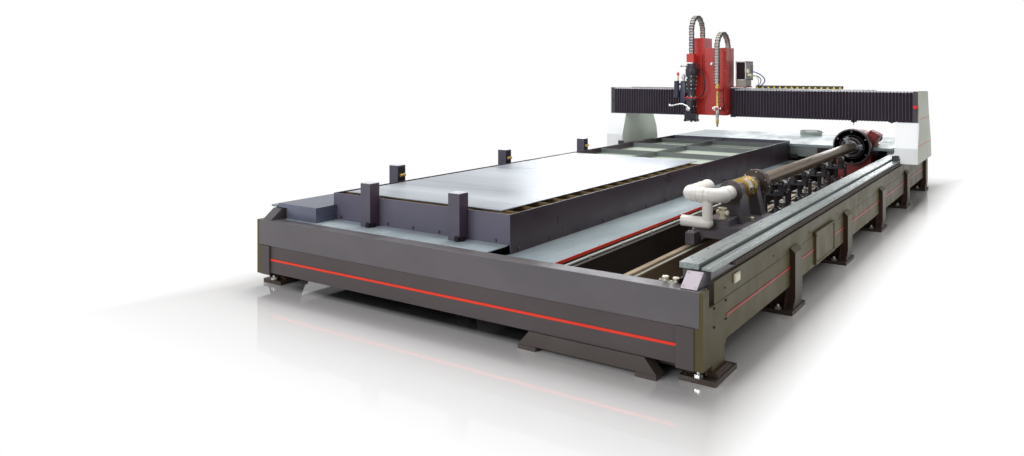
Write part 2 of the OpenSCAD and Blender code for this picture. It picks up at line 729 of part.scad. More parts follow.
module jaw(k) color("#a9abab") rotate_about_tube(k * 120) {
    x0 = tube_x + tube_r + slide_gap;
    z = [tube_z - jaw_w / 2, tube_z + jaw_w / 2];
    y_base = chuck_y - 14 - slide_gap;
    block([x0, x0 + jaw_l - 42], [y_base - 12, y_base], z);
    block([x0, x0 + 40], [y_base - jaw_d, y_base - 12], [tube_z - 14, tube_z + 14]);
    block([x0 + 40, x0 + 64], [y_base - 34, y_base - 12], [tube_z - 22, tube_z + 22]);
}
module jaw_1() jaw(0);
module jaw_2() jaw(1);
module jaw_3() jaw(2);

module steel_tube() color("#7b6a5a") difference() {
    union() {
        y_cyl(tube_x, tube_z, [tube_from, chuck_rear - 20], tube_r);
        // Clamping sleeve that seats the tube in the chuck's bore
        y_cyl(tube_x, tube_z, [chuck_rear - 60, chuck_rear - 20], chuck_bore_r);
    }
    y_cyl(tube_x, tube_z, [tube_from - 1, chuck_rear], tube_r - tube_wall);
}

// Housing that carries the tail shaft, between two distances from the front
module shaft_bracket(y) difference() {
    long_bar(y, [[tube_x - 150, pit_rail_z + 60], [tube_x + 150, pit_rail_z + 60],
        [tube_x + 112, tube_z - 250], [tube_x + 68, tube_z - 24], [tube_x + 64, tube_z + 26],
        [tube_x + 36, tube_z + 60], [tube_x - 36, tube_z + 60], [tube_x - 64, tube_z + 26],
        [tube_x - 68, tube_z - 24], [tube_x - 112, tube_z - 250]]);
    y_cyl(tube_x, tube_z, [y[0] - 1, y[1] + 1], shaft_r + turn_gap);
}

module tailstock() color("#4b494b") {
    half = pit_gauge / 2;
    tail_rear = tail_from + tail_l;
    low = pit_rail_z + slide_gap;
    deck = pit_rail_z + 60;
    // Saddle over both pit rails, its flanks sloping in towards the top
    long_bar([tail_from + 105, tail_rear], [[tube_x - half - 39, deck - 14], [tube_x + half + 39, deck - 14],
        [tube_x + half + 39, deck + 32], [tube_x + 153, deck + 92], [tube_x - 153, deck + 92],
        [tube_x - half - 39, deck + 32]]);
    for (s = [-1, 1], y = [tail_from, tail_rear - 160])
        block([tube_x + s * half - 39, tube_x + s * half + 39], [y, y + 160], [low, deck + 32]);
    shaft_bracket([bracket_1, bracket_1 + 190]);
    shaft_bracket([bracket_2, bracket_2 + 110]);
    // Box with a flanged lid in front of the first housing
    block([tube_x - 90, tube_x + 56], [tail_from + 110, bracket_1], [deck, 500]);
    block([tube_x - 132, tube_x + 60], [tail_from + 104, bracket_1], [500, 508]);
}

module tail_ring() color("#2e2a28") difference() {
    union() {
        y_cyl(tube_x, tube_z, [ring_from, ring_end], ring_r);
        y_cyl(tube_x, tube_z, [ring_from - 34, ring_from], ring_r * 0.62);
        y_cyl(tube_x, tube_z, [shaft_from, ring_from], shaft_r);
    }
    y_cyl(tube_x, tube_z, [shaft_from - 1, ring_end], shaft_bore_r);
    y_cyl(tube_x, tube_z, [tube_from - 12, ring_end + 1], tube_r + 2);
    for (y = [ring_from + 22, ring_from + 56]) difference() {
        y_cyl(tube_x, tube_z, [y, y + 8], ring_r + 1);
        y_cyl(tube_x, tube_z, [y - 1, y + 9], ring_r - 7);
    }
}

module swivel_gland() color("#c8a646") {
    gland = [bracket_1 + 198, bracket_2 - 8];
    difference() {
        union() {
            y_cyl(tube_x, tube_z, gland, 64);
            y_cyl(tube_x, tube_z, [gland[0] + 4, gland[0] + 34], 86);
            y_cyl(tube_x, tube_z, [gland[1] - 48, gland[1] - 8], 86);
            block([tube_x - 26, tube_x + 26], [gland[0] + 60, gland[1] - 70], [pit_rail_z + 152, tube_z - 60]);
        }
        y_cyl(tube_x, tube_z, [gland[0] - 1, gland[1] + 1], shaft_r + turn_gap);
    }
}

// Quarter bend in the XY plane, its centre at x, y, from angle a
module pipe_bend_flat(x, y, z, a)
    translate([x, fy(y), z]) rotate([0, 0, a]) rotate_extrude(angle = 90) translate([pipe_bend, 0]) circle(pipe_r);

module fume_pipe() color("#d9d6c6") {
    left_x = tube_x - 2 * pipe_bend - pipe_run;
    bend_y = pipe_y + pipe_bend;
    // Straight end on the first housing, with the hollow tail shaft turning inside it
    difference() {
        union() {
            y_cyl(tube_x, tube_z, [bend_y, bracket_1], pipe_r);
            y_cyl(tube_x, tube_z, [bend_y + 6, bend_y + 40], pipe_r + 6);
            y_cyl(tube_x, tube_z, [bracket_1 - 12, bracket_1], pipe_r + 8);
        }
        y_cyl(tube_x, tube_z, [shaft_from - 60, shaft_from], shaft_bore_r);
        y_cyl(tube_x, tube_z, [shaft_from - 3, bracket_1 + 1], shaft_r + turn_gap);
    }
    pipe_bend_flat(tube_x - pipe_bend, bend_y, tube_z, 270);
    translate([left_x + pipe_bend, fy(pipe_y), tube_z]) rotate([0, 90, 0]) cylinder(r = pipe_r, h = pipe_run);
    translate([left_x + pipe_bend + 30, fy(pipe_y), tube_z]) rotate([0, 90, 0]) cylinder(r = pipe_r + 6, h = 40);
    pipe_bend_flat(left_x + pipe_bend, bend_y, tube_z, 180);
    difference() {
        y_cyl(left_x, tube_z, [bend_y, bend_y + 375], pipe_r);
        y_cyl(left_x, tube_z, [bend_y + 275, bend_y + 376], pipe_r - 6);
    }
    // Branch down to a second outlet on the left
    drop_x = tube_x - pipe_bend - 20;
    out_z = tube_z - 222;
    z_cyl(drop_x, pipe_y, [out_z, tube_z], 42);
    difference() {
        translate([drop_x - 215, fy(pipe_y), out_z]) rotate([0, 90, 0]) cylinder(r = 46, h = 215);
        translate([drop_x - 216, fy(pipe_y), out_z]) rotate([0, 90, 0]) cylinder(r = 40, h = 140);
    }
    translate([drop_x, fy(pipe_y), out_z]) sphere(r = 46);
}

module support_bases() color("#2b2a2c") for (y = support_ys) difference() {
    union() {
        block([tube_x - pit_gauge / 2 - 60, tube_x + pit_gauge / 2 + 60], [y - 70, y + 70],
            [pit_rail_z, pit_rail_z + 16]);
        for (s = [-1, 1])
            block([tube_x + s * guide_dx - 11, tube_x + s * guide_dx + 11], [y - 30, y + 30],
                [pit_rail_z + 16, cradle_z + 60]);
        z_cyl(tube_x, y, [cradle_z - lift_stroke - 280, cradle_z - lift_stroke - 4], 42);
    }
    z_cyl(tube_x, y, [cradle_z - lift_stroke - 266, cradle_z], 22 + turn_gap);
}

module support_cradles() color("#37363a") for (y = support_ys) {
    in = guide_dx - 11 - slide_gap;
    z_cyl(tube_x, y, [cradle_z - lift_stroke - 140, cradle_z], 22);
    block([tube_x - in, tube_x + in], [y - 30, y + 30], [cradle_z, cradle_z + 40]);
    for (s = [-1, 1], t = [-1, 1]) difference() {
        block([tube_x + s * roller_dx - 22, tube_x + s * roller_dx + 22],
            [y + t * (roller_l / 2 + 10) - 8, y + t * (roller_l / 2 + 10) + 8], [cradle_z, roller_z + 20]);
        y_cyl(tube_x + s * roller_dx, roller_z, [y - 90, y + 90], 9 + turn_gap);
    }
    block([tube_x - roller_dx - 22, tube_x + roller_dx + 22], [y - roller_l / 2 - 18, y + roller_l / 2 + 18],
        [cradle_z, cradle_z + 12]);
}

module roller_row(s) color("#c4c6c4") for (y = support_ys) {
    y_cyl(tube_x + s * roller_dx, roller_z, [y - roller_l / 2, y + roller_l / 2], roller_r);
    y_cyl(tube_x + s * roller_dx, roller_z, [y - roller_l / 2 - 22, y + roller_l / 2 + 22], 9);
}
module rollers_left() roller_row(-1);
module rollers_right() roller_row(1);

module gantry_beam() color("#6b6f70")
    box_beam([-beam_half, beam_half], [beam_y, beam_y + beam_d], [beam_z, beam_top], beam_wall);

module gantry_legs() color("#7d8580") both_sides() {
    x = [rail_x + 16, gantry_half - side_plate_t - cover_t - 6];
    low = truck_z + truck_plate_t;
    block(x, leg_y, [low, beam_z]);
    block(x, strut_y, [low, beam_z - 120]);
    block([x[0], x[1] - 40], [leg_y[1], strut_y[0]], [beam_z - 170, beam_z - 120]);
}

// Outline of the side of a leg cover, from its lower front corner
function cover_outline(z0, z1, inset) =
    let (front = 6340 + inset, mid = 6462 + inset, back = 7589 - inset, bend = 775, brow = 1062)
    z1 < brow + 20
        ? [[front, z0], [front, bend], [mid - 2, z1], [7385 - inset, z1], [7530 - inset, 837], [back, z0]]
        : [[front, z0], [front, bend], [mid, brow], [mid, z1], [7245 - inset, z1 - 17], [7331 - inset, 1196],
           [7530 - inset, 837], [back, z0]];

module leg_covers() color("#cfd6cf") both_sides() {
    side_plate([beam_half, gantry_half], cover_outline(cover_out_z, 1457, 0));
    // Narrow end panel that the bellows are fixed to, drilled for the stop button's stem
    difference() {
        block([beam_half - end_panel, beam_half], [bellows_y + 6, bellows_y + bellows_d],
            [bellows_z, bellows_z + bellows_h]);
        y_cyl(button_x, button_z, [bellows_y, bellows_y + bellows_d + 1], 12 + turn_gap);
    }
    top = bellows_z - 3;
    difference() {
        side_plate([cover_x, beam_half], cover_outline(cover_out_z, top, 0));
        side_plate([cover_x + cover_t, beam_half + 1], cover_outline(cover_out_z - 9, top - cover_t, cover_t));
        block([rail_x + 12, beam_half + 1], [leg_y[0] - 4, leg_y[1] + 4], [top - 20, top + 1]);
        block([cover_x - 1, rail_x + 50], [6300, 7700], [cover_out_z - 1, cover_in_z]);
    }
}

module gantry_trucks() color("#33383a") both_sides() {
    low = rail_top + slide_gap;
    for (y = [6380, 6600, 7180, 7400])
        block([rail_in + 6, rail_out - 2], [y, y + 130], [low, truck_z]);
    difference() {
        block([rail_in + 24 + 4, beam_half - 4], [6372, 7560], [truck_z, truck_z + truck_plate_t]);
        z_cyl(pinion_x, pinion_y, [truck_z - 1, truck_z + truck_plate_t + 1], 32);
    }
    // Wiper in front of the cover
    block([rail_in, rail_out + 6], [6304, 6340], [low, truck_z + 40]);
}

module travel_motors() color("#2f3436") both_sides() difference() {
    low = truck_z + truck_plate_t;
    union() {
        translate([pinion_x - 60, fy(pinion_y) - 60, low]) cube([120, 120, 110]);
        z_cyl(pinion_x, pinion_y, [low + 110, low + 238], 54);
    }
    z_cyl(pinion_x, pinion_y, [low - 1, low + 80], 16 + turn_gap);
}

module pinion() color("#8f8a80") {
    translate([pinion_x, fy(pinion_y), rack_z - 2]) linear_extrude(rack_h) polygon(gear_outline(gear_m, gear_n));
    z_cyl(pinion_x, pinion_y, [rack_z + rack_h - 3, truck_z + truck_plate_t + 74], 16);
}
module pinion_right() pinion();
module pinion_left() mirror([1, 0, 0]) pinion();

module beam_rails() color("#a8acac") {
    for (z = [lin_low, lin_high])
        block([60 - beam_half, beam_half - 60], [beam_y - lin_t, beam_y], [z - lin_w / 2, z + lin_w / 2]);
    translate([drive_x, fy(x_rack_line), beam_top])
        linear_extrude(x_rack_h) polygon(rack_outline(x_gear_m, x_rack_teeth, 12));
}

// Pleated cover between two X limits, its folds standing in the front face
module bellows(x0, x1) {
    n = round((x1 - x0) / pleat);
    step = (x1 - x0) / n;
    front = fy(bellows_y);
    back = fy(bellows_y + bellows_d);
    translate([0, 0, bellows_z]) linear_extrude(bellows_h) polygon(concat(
        [[x0, back], [x0, front]],
        [for (i = [0 : n - 1]) each [[x0 + (i + 0.5) * step, front + pleat_in], [x0 + (i + 1) * step, front]]],
        [[x1, back]]));
}
module bellows_left() color("#2c2733") bellows(end_panel - beam_half, car_left - 14);
module bellows_right() color("#2c2733") bellows(car_right + 60, beam_half - end_panel);

// Frames on the carriage that the bellows are fixed to
module bellows_frames() color("#26232b") for (x = [[car_left - 14, car_left], [car_right, car_right + 60]]) {
    block(x, [plate_y + 40, bellows_y + bellows_d], [bellows_z - 4, bellows_z + bellows_h + 4]);
}

module beam_chain() color("#3a3935") {
    n = 24;
    x0 = drive_x + 120;
    x1 = 1128;
    for (i = [0 : n - 1]) {
        a = x0 + (x1 - x0) * i / n;
        inset = i % 2 == 0 ? 0 : 5;
        block([a, a + (x1 - x0) / n], [6716 + inset, 6806 - inset], [beam_top, beam_top + 60 - inset]);
    }
}

module stop_button() color("#c8202a") {
    y_cyl(button_x, button_z, [bellows_y - 8, bellows_y + 26], 12);
    y_cyl(button_x, button_z, [bellows_y - 24, bellows_y - 8], 24);
    y_cyl(button_x, button_z, [bellows_y - 28, bellows_y - 24], 19);
}

module carriage_plate() color("#8f2b27") {
    block([car_left, car_right], [plate_y, block_y], [column_z + 10, plate_top]);
    for (z = [lin_low, lin_high], x = [car_left + 70, car_right - 190])
        block([x, x + 120], [block_y, beam_y - lin_t - slide_gap], [z - 34, z + 34]);
    difference() {
        block([car_left, drive_x + 80], [block_y, 6700], [top_plate_z, top_plate_z + top_plate_t]);
        z_cyl(drive_x, x_pinion_y, [top_plate_z - 1, top_plate_z + top_plate_t + 1], 30);
    }
}

module head_columns() color("#b23a34") {
    for (c = [[car_left, column_split, column_tall], [column_split + 2, car_right, column_low]]) {
        block([c[0], c[1]], [column_y, plate_y], [column_z, c[2]]);
        block([c[0], c[1]], [block_y, column_rear], [top_plate_z + top_plate_t, c[2]]);
        block([c[0], c[1]], [plate_y, block_y], [plate_top, c[2]]);
    }
}

module drive_box() color("#2b2730") difference() {
    union() {
        block([drive_x - drive_w / 2, drive_x + drive_w / 2], [drive_y, drive_y + drive_d],
            [drive_z, drive_z + drive_h]);
        block([drive_x - drive_w / 2, drive_x + drive_w / 2 - 4], [drive_y + 6, x_pinion_y + 60],
            [top_plate_z + top_plate_t, drive_z]);
    }
    z_cyl(drive_x, x_pinion_y, [top_plate_z, top_plate_z + 70], 14 + turn_gap);
}

module carriage_pinion() color("#8f8a80") {
    translate([drive_x, fy(x_pinion_y), beam_top + 2]) rotate([0, 0, 90])
        linear_extrude(x_rack_h - 4) polygon(gear_outline(x_gear_m, gear_n));
    z_cyl(drive_x, x_pinion_y, [beam_top + x_rack_h - 3, top_plate_z + 64], 14);
}

module plasma_slide() color("#b8413a") {
    y = [column_y - slide_t, column_y - slide_gap];
    block([plasma_x - 46, plasma_x + 90], y, [1310, slide_top]);
    difference() {
        union() {
            block([plasma_x - 60, plasma_x + 60], [head_y, y[0]], [ring_arm_z, ring_arm_z + 90]);
            z_cyl(plasma_x, head_y, [ring_arm_z, ring_arm_z + 90], 78);
        }
        z_cyl(plasma_x, head_y, [ring_arm_z - 1, ring_arm_z + 91], head_body_r + turn_gap);
    }
    // Block above the head that holds the chain, on a web from the slide
    block([plasma_x - 50, plasma_x + 50], [head_y - 50, head_y + 50], [slide_top - 113, slide_top]);
    block([plasma_x - 30, plasma_x + 30], [head_y + 50, y[0]], [slide_top - 85, slide_top - 25]);
}

module bevel_head() color("#2a2730") {
    z_cyl(plasma_x, head_y, [1330, spindle_top], head_body_r);
    z_cyl(plasma_x, head_y, [ring_arm_z - 26, ring_arm_z - slide_gap], 78);
    z_cyl(plasma_x, head_y, [ring_arm_z + 90 + slide_gap, ring_arm_z + 112], 68);
    z_cyl(plasma_x, head_y, [1480, 1590], 70);
    // Turning motor on the left, on a bracket
    block([plasma_x - 140, plasma_x - 80], [head_y - 32, head_y + 32], [1216, 1560]);
    block([plasma_x - 80, plasma_x - 40], [head_y - 24, head_y + 24], [1400, 1540]);
    z_cyl(plasma_x - 108, head_y, [1560, 1600], 16);
    // Fork with two cheeks, drilled for the tilt axle
    z_cyl(plasma_x, head_y, [1300, 1332], 92);
    difference() {
        for (s = [-1, 1])
            block([plasma_x - 36, plasma_x + 36], [head_y + s * 77 - 12, head_y + s * 77 + 12], [1150, 1302]);
        y_cyl(plasma_x, tilt_z, [head_y - 100, head_y + 100], 16 + turn_gap);
    }
}

module plasma_torch() color("#1f1c20") {
    z_cyl(plasma_x, head_y, [1044, tilt_z + 44], torch_r);
    z_cyl(plasma_x, head_y, [1026, 1044], 34);
    z_cyl(plasma_x, head_y, [plasma_tip, 1026], 14);
    y_cyl(plasma_x, tilt_z, [head_y - 108, head_y + 88], 16);
    // Lever on the end of the tilt axle
    translate([plasma_x, fy(head_y - 100), tilt_z]) rotate([0, -106, 0]) cylinder(r = 8, h = 104);
}

module oxy_slide() color("#a83a34") {
    y = [column_y - 26, column_y - slide_gap];
    block([oxy_x - 34, oxy_x + 50], y, [1130, 1520]);
    difference() {
        union() {
            block([oxy_x - 30, oxy_x + 30], [head_y, y[0]], [1180, 1216]);
            z_cyl(oxy_x, head_y, [1176, 1220], 36);
            block([oxy_x - 24, oxy_x + 24], [head_y, y[0]], [1430, 1460]);
            z_cyl(oxy_x, head_y, [1430, 1460], 30);
        }
        z_cyl(oxy_x, head_y, [1100, 1500], oxy_r);
    }
}

module oxy_torch() color("#c2a662") {
    z_cyl(oxy_x, head_y, [oxy_tip + 40, oxy_top], oxy_r);
    translate([oxy_x, fy(head_y), oxy_tip]) cylinder(r1 = 8, r2 = oxy_r - 3, h = 40);
    z_cyl(oxy_x, head_y, [oxy_top - 30, oxy_top], 27);
    z_cyl(oxy_x, head_y, [1224, 1250], 24);
}

module chain_loop_left() color("#3a3836") {
    far_y = column_y + 180;
    chain_loop(plasma_x + 4, plasma_x + 20, head_y, far_y, slide_top + 0.02, column_tall + slide_gap,
        column_tall + loop_left_leg + (far_y - head_y) / 2 + chain_t / 2);
}

module chain_loop_right() color("#3a3836") {
    far_y = column_y + 160;
    chain_loop(oxy_x - 4, car_right - 32, head_y, far_y, oxy_top + 0.02, column_low + slide_gap,
        column_low + loop_right_leg + (far_y - head_y) / 2 + chain_t / 2);
}

end_beams();
skirt_panels();
red_stripes();
side_legs();
blank_plate();
side_beams();
guide_rails();
gear_racks();
foot_plates();
levelling_screws();
lifting_skid();
bed_walls();
bed_bearers();
slats();
slag_trays();
steel_sheet();
guide_posts();
deck_plates();
deck_brackets();
fume_duct();
pit_trough();
pit_rails();
headstock();
chuck_body();
jaw_1();
jaw_2();
jaw_3();
steel_tube();
tailstock();
tail_ring();
swivel_gland();
fume_pipe();
support_bases();
support_cradles();
rollers_left();
rollers_right();
gantry_beam();
gantry_legs();
leg_covers();
gantry_trucks();
travel_motors();
pinion_left();
pinion_right();
beam_rails();
bellows_left();
bellows_right();
beam_chain();
stop_button();
bellows_frames();
carriage_plate();
head_columns();
drive_box();
carriage_pinion();
plasma_slide();
bevel_head();
plasma_torch();
oxy_slide();
oxy_torch();
chain_loop_left();
chain_loop_right();
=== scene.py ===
import itertools
import math

import bmesh
import bpy
from mathutils import Matrix, Vector


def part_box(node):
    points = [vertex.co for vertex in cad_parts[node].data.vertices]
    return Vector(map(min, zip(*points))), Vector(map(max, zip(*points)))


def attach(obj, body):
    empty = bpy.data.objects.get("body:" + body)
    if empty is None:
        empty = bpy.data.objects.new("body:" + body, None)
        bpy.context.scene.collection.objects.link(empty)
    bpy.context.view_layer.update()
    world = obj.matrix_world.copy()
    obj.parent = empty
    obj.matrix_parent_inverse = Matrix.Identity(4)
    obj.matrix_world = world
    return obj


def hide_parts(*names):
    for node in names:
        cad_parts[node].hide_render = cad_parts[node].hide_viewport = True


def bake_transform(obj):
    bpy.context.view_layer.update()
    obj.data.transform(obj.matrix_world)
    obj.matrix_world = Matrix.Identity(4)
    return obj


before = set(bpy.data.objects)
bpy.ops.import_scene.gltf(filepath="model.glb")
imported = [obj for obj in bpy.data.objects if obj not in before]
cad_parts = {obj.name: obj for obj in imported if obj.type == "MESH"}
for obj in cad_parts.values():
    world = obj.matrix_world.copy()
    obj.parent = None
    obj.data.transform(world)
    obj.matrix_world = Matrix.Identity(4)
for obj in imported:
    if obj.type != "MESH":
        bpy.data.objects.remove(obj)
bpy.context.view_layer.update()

# The place where the machine stands.
# A polished workshop floor that fades to white away from the machine, a broad lamp over it with smaller
# ones around it, and the camera at the height of someone who stands at the front right corner.
camera_data = bpy.data.cameras.new("camera")
camera_data.sensor_width = 36.0
camera_data.lens = 27.672
camera_data.shift_y = -0.1537
camera_data.clip_end = 200.0
camera = bpy.data.objects.new("camera", camera_data)
camera.location = (3.3664, -8.4907, 1.7)
camera.rotation_euler = (math.radians(90), 0, math.radians(34.543))
bpy.context.scene.collection.objects.link(camera)
bpy.context.scene.camera = camera
bpy.context.scene.view_settings.view_transform = "Standard"


def put(name, mesh, body):
    """A finished mesh as an object that rides on one of the machine's moving groups."""
    piece = bpy.data.objects.new(name, mesh)
    bpy.context.scene.collection.objects.link(piece)
    if body:
        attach(piece, body)
    return piece


def blank(name, roughness, metallic=0.0):
    """A new finish: the material, its node tree and its main shader."""
    material = bpy.data.materials.new(name)
    material.use_nodes = True
    tree = material.node_tree
    shader = tree.nodes["Principled BSDF"]
    shader.inputs["Roughness"].default_value = roughness
    shader.inputs["Metallic"].default_value = metallic
    return material, tree, shader


def node(tree, kind, settings=None, **sockets):
    """One shader node; its sockets are named with _ for a space, and take a value or another socket."""
    made = tree.nodes.new("ShaderNode" + kind)
    for key, value in (settings or {}).items():
        setattr(made, key, value)
    for key, value in sockets.items():
        numbered = key[0] == "i" and key[1:].isdigit()
        socket = made.inputs[int(key[1:])] if numbered else made.inputs[key.replace("_", " ")]
        if isinstance(value, bpy.types.NodeSocket):
            tree.links.new(value, socket)
        else:
            socket.default_value = value
    return made


def sum_of(tree, kind, first, second):
    """One sum on two values: ADD, MULTIPLY, MAXIMUM and so on."""
    return node(tree, "Math", {"operation": kind}, i0=first, i1=second).outputs[0]


def noise_at(tree, scale, stretch=(1, 1, 1), detail=5.0, rough=0.55):
    """Noise fixed to the piece, drawn out along the axes where stretch is small."""
    where = node(tree, "TexCoord").outputs["Object"]
    where = node(tree, "Mapping", Vector=where, Scale=stretch).outputs["Vector"]
    return node(tree, "TexNoise", Vector=where, Scale=scale, Detail=detail, Roughness=rough).outputs["Fac"]


def ramp(tree, value, low, high, dark, light):
    """Colours from dark to light as value goes from low to high."""
    made = node(tree, "ValToRGB", Fac=value)
    first, last = made.color_ramp.elements
    first.position, last.position = low, high
    first.color, last.color = (*dark, 1), (*light, 1)
    return made.outputs["Color"]


def spread(tree, value, low, high, to_low, to_high):
    """Value mapped from one range to another, and held inside it."""
    return node(tree, "MapRange", Value=value, i1=low, i2=high, i3=to_low, i4=to_high).outputs["Result"]


def unsigned(tree, value):
    """The value without its sign, which makes left and right alike."""
    return sum_of(tree, "ABSOLUTE", value, 0.0)


def measured(tree, what="Object"):
    """The x, y and z of each point of a piece, or with "Normal" of the way its surface faces there."""
    source = node(tree, "NewGeometry" if what == "Normal" else "TexCoord").outputs[what]
    return node(tree, "SeparateXYZ", Vector=source).outputs


def coloured(tree, shader, colour):
    """Gives the finish its colour."""
    tree.links.new(colour, shader.inputs["Base Color"])


def gloss_between(tree, shader, pattern, low, high):
    """Roughness that goes from low to high with a pattern, as on a handled surface."""
    tree.links.new(spread(tree, pattern, 0.3, 0.7, low, high), shader.inputs["Roughness"])


floor_finish, tree, shader = blank("workshop_floor", 0.06)
place = measured(tree)
from_side, from_end = unsigned(tree, place[0]), unsigned(tree, place[1])
beside = spread(tree, from_side, 1.93, 2.24, 0.0, 1.0)
ahead = spread(tree, from_end, 4.58, 5.70, 0.0, 1.0)
fade = sum_of(tree, "MAXIMUM", beside, ahead)
# The floor goes nearly black under the table's front: a painted shadow.
under = sum_of(tree, "MULTIPLY", spread(tree, from_side, 1.40, 1.74, 1.0, 0.0),
               spread(tree, from_end, 4.36, 4.46, 1.0, 0.0))
coloured(tree, shader, ramp(tree, under, 0.0, 1.0, (0.86, 0.85, 0.845), (0.05, 0.05, 0.05)))
shader.inputs["IOR"].default_value = 4.2
gloss_between(tree, shader, noise_at(tree, 2.2), 0.03, 0.08)
glow = node(tree, "Emission", Color=(1, 1, 1, 1), Strength=1.0)
seen = node(tree, "LightPath")
seen_or_mirrored = sum_of(tree, "MAXIMUM", seen.outputs["Is Camera Ray"], seen.outputs["Is Glossy Ray"])
share = sum_of(tree, "MULTIPLY", fade, seen_or_mirrored)
mix = node(tree, "MixShader", Fac=share, i1=shader.outputs[0], i2=glow.outputs[0])
tree.links.new(mix.outputs[0], tree.nodes["Material Output"].inputs["Surface"])
floor_mesh = bpy.data.meshes.new("floor")
floor_mesh.from_pydata([(-60, -60, 0), (60, -60, 0), (60, 60, 0), (-60, 60, 0)], [], [(0, 1, 2, 3)])
floor_mesh.materials.append(floor_finish)
floor = put("floor", floor_mesh, None)

world = bpy.data.worlds.new("hall")
bpy.context.scene.world = world
world.use_nodes = True
tree = world.node_tree
tree.nodes.clear()
seen = node(tree, "LightPath")
mirrored = sum_of(tree, "MULTIPLY", seen.outputs["Is Glossy Ray"], 0.45)
white = sum_of(tree, "MAXIMUM", seen.outputs["Is Camera Ray"], mirrored)
strength = spread(tree, white, 0.0, 1.0, 0.33, 1.0)
back = node(tree, "Background", Color=(1.0, 1.0, 1.0, 1), Strength=strength)
tree.links.new(back.outputs[0], node(tree, "OutputWorld").inputs["Surface"])


def lamp(name, place, aim, size, power, colour=(1, 1, 1)):
    """A flat lamp with a soft face, aimed at a point."""
    data = bpy.data.lights.new(name, "AREA")
    data.shape = "RECTANGLE"
    data.size, data.size_y = size
    data.energy = power
    data.color = colour
    made = bpy.data.objects.new(name, data)
    made.location = place
    made.rotation_euler = (Vector(aim) - Vector(place)).to_track_quat("-Z", "Y").to_euler()
    made.visible_camera = False
    bpy.context.scene.collection.objects.link(made)


lamp("roof_lamp", (-2.6, 0.2, 8.6), (-0.1, 0.3, 0.3), (4.0, 10.0), 720.0, (1.0, 0.985, 0.965))
lamp("front_lamp", (-2.5, -12.5, 4.2), (0.3, -1.5, 0.6), (6.0, 3.0), 430.0, (0.97, 0.97, 1.0))
lamp("corner_lamp", (6.2, -8.2, 3.2), (1.9, -4.2, 0.3), (2.4, 2.0), 24.0, (1.0, 0.97, 0.90))
lamp("window_lamp", (-7.0, 11.3, 4.4), (0.3, -1.0, 0.5), (4.5, 1.6), 150.0, (0.94, 0.97, 1.0))
lamp("pit_lamp", (1.35, -1.2, 3.6), (1.25, -1.2, 0.4), (0.8, 5.5), 60.0, (1.0, 0.99, 0.96))
lamp("rear_lamp", (-1.4, 12.6, 2.9), (1.2, -1.0, 0.6), (5.0, 1.3), 120.0, (0.96, 0.98, 1.0))

# Table frame.
# Welded box beams along both sides and across both ends, sprayed dark grey, with slanted gussets
# between them. The gusset beside the tube pit carries a pale screwed end cover, a painted highlight
# where the slanted gusset reflects the light.


def srgb(r, g, b):
    """A colour as the eye names it, 0 to 255, in the numbers that shaders use."""
    return tuple(((c / 255 + 0.055) / 1.055) ** 2.4 if c > 10 else c / 255 / 12.92 for c in (r, g, b))


def shade(colour, factor):
    """The same colour, lighter or darker."""
    return tuple(min(1.0, c * factor) for c in colour)


def wear(names, material):
    """Gives CAD pieces their real finish in place of the plain one."""
    for name in names if isinstance(names, (list, tuple)) else [names]:
        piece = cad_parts[name]
        for slot in piece.material_slots:
            slot.material = material
        if not piece.material_slots:
            piece.data.materials.append(material)


def mixed(tree, share, first, second):
    """The first colour, and the second one where the share is 1."""
    return node(tree, "Mix", {"data_type": "RGBA"}, Factor=share, i6=first, i7=second).outputs[2]


def both_of(tree, first, share, second):
    """Two patterns in one, the first with its share of the whole."""
    main, rest = sum_of(tree, "MULTIPLY", first, share), sum_of(tree, "MULTIPLY", second, 1 - share)
    return sum_of(tree, "ADD", main, rest)


def ripple(tree, shader, pattern, strength, depth):
    """Small heights on the surface that follow a pattern."""
    bump = node(tree, "Bump", Strength=strength, Distance=depth, Height=pattern)
    tree.links.new(bump.outputs[0], shader.inputs["Normal"])


def rubbed_and_highlit_edges(tree, base, colour, scuff_and_highlight):
    """The colour with its sharp edges lighter in places: rubbed paint, and a painted highlight along the
    edges.
    """
    round_edge = node(tree, "Bevel", {"samples": 4}, Radius=0.004).outputs[0]
    flat = node(tree, "NewGeometry").outputs["Normal"]
    facing = node(tree, "VectorMath", {"operation": "DOT_PRODUCT"}, i0=round_edge, i1=flat).outputs["Value"]
    edge = spread(tree, facing, 0.90, 0.985, 1.0, 0.0)
    worn_and_highlit = spread(tree, noise_at(tree, 9.0), 0.36, 0.62, 0.15 * scuff_and_highlight, scuff_and_highlight)
    lighter = (*shade(colour, 2.3 if max(colour) < 0.35 else 1.25), 1)
    return mixed(tree, sum_of(tree, "MULTIPLY", edge, worn_and_highlit), base, lighter)


def mottled(tree, pattern, colour, mottle, low=0.32, high=0.68):
    """A colour that goes a little darker and lighter with a pattern."""
    return ramp(tree, pattern, low, high, shade(colour, 1 - mottle), shade(colour, 1 + mottle))


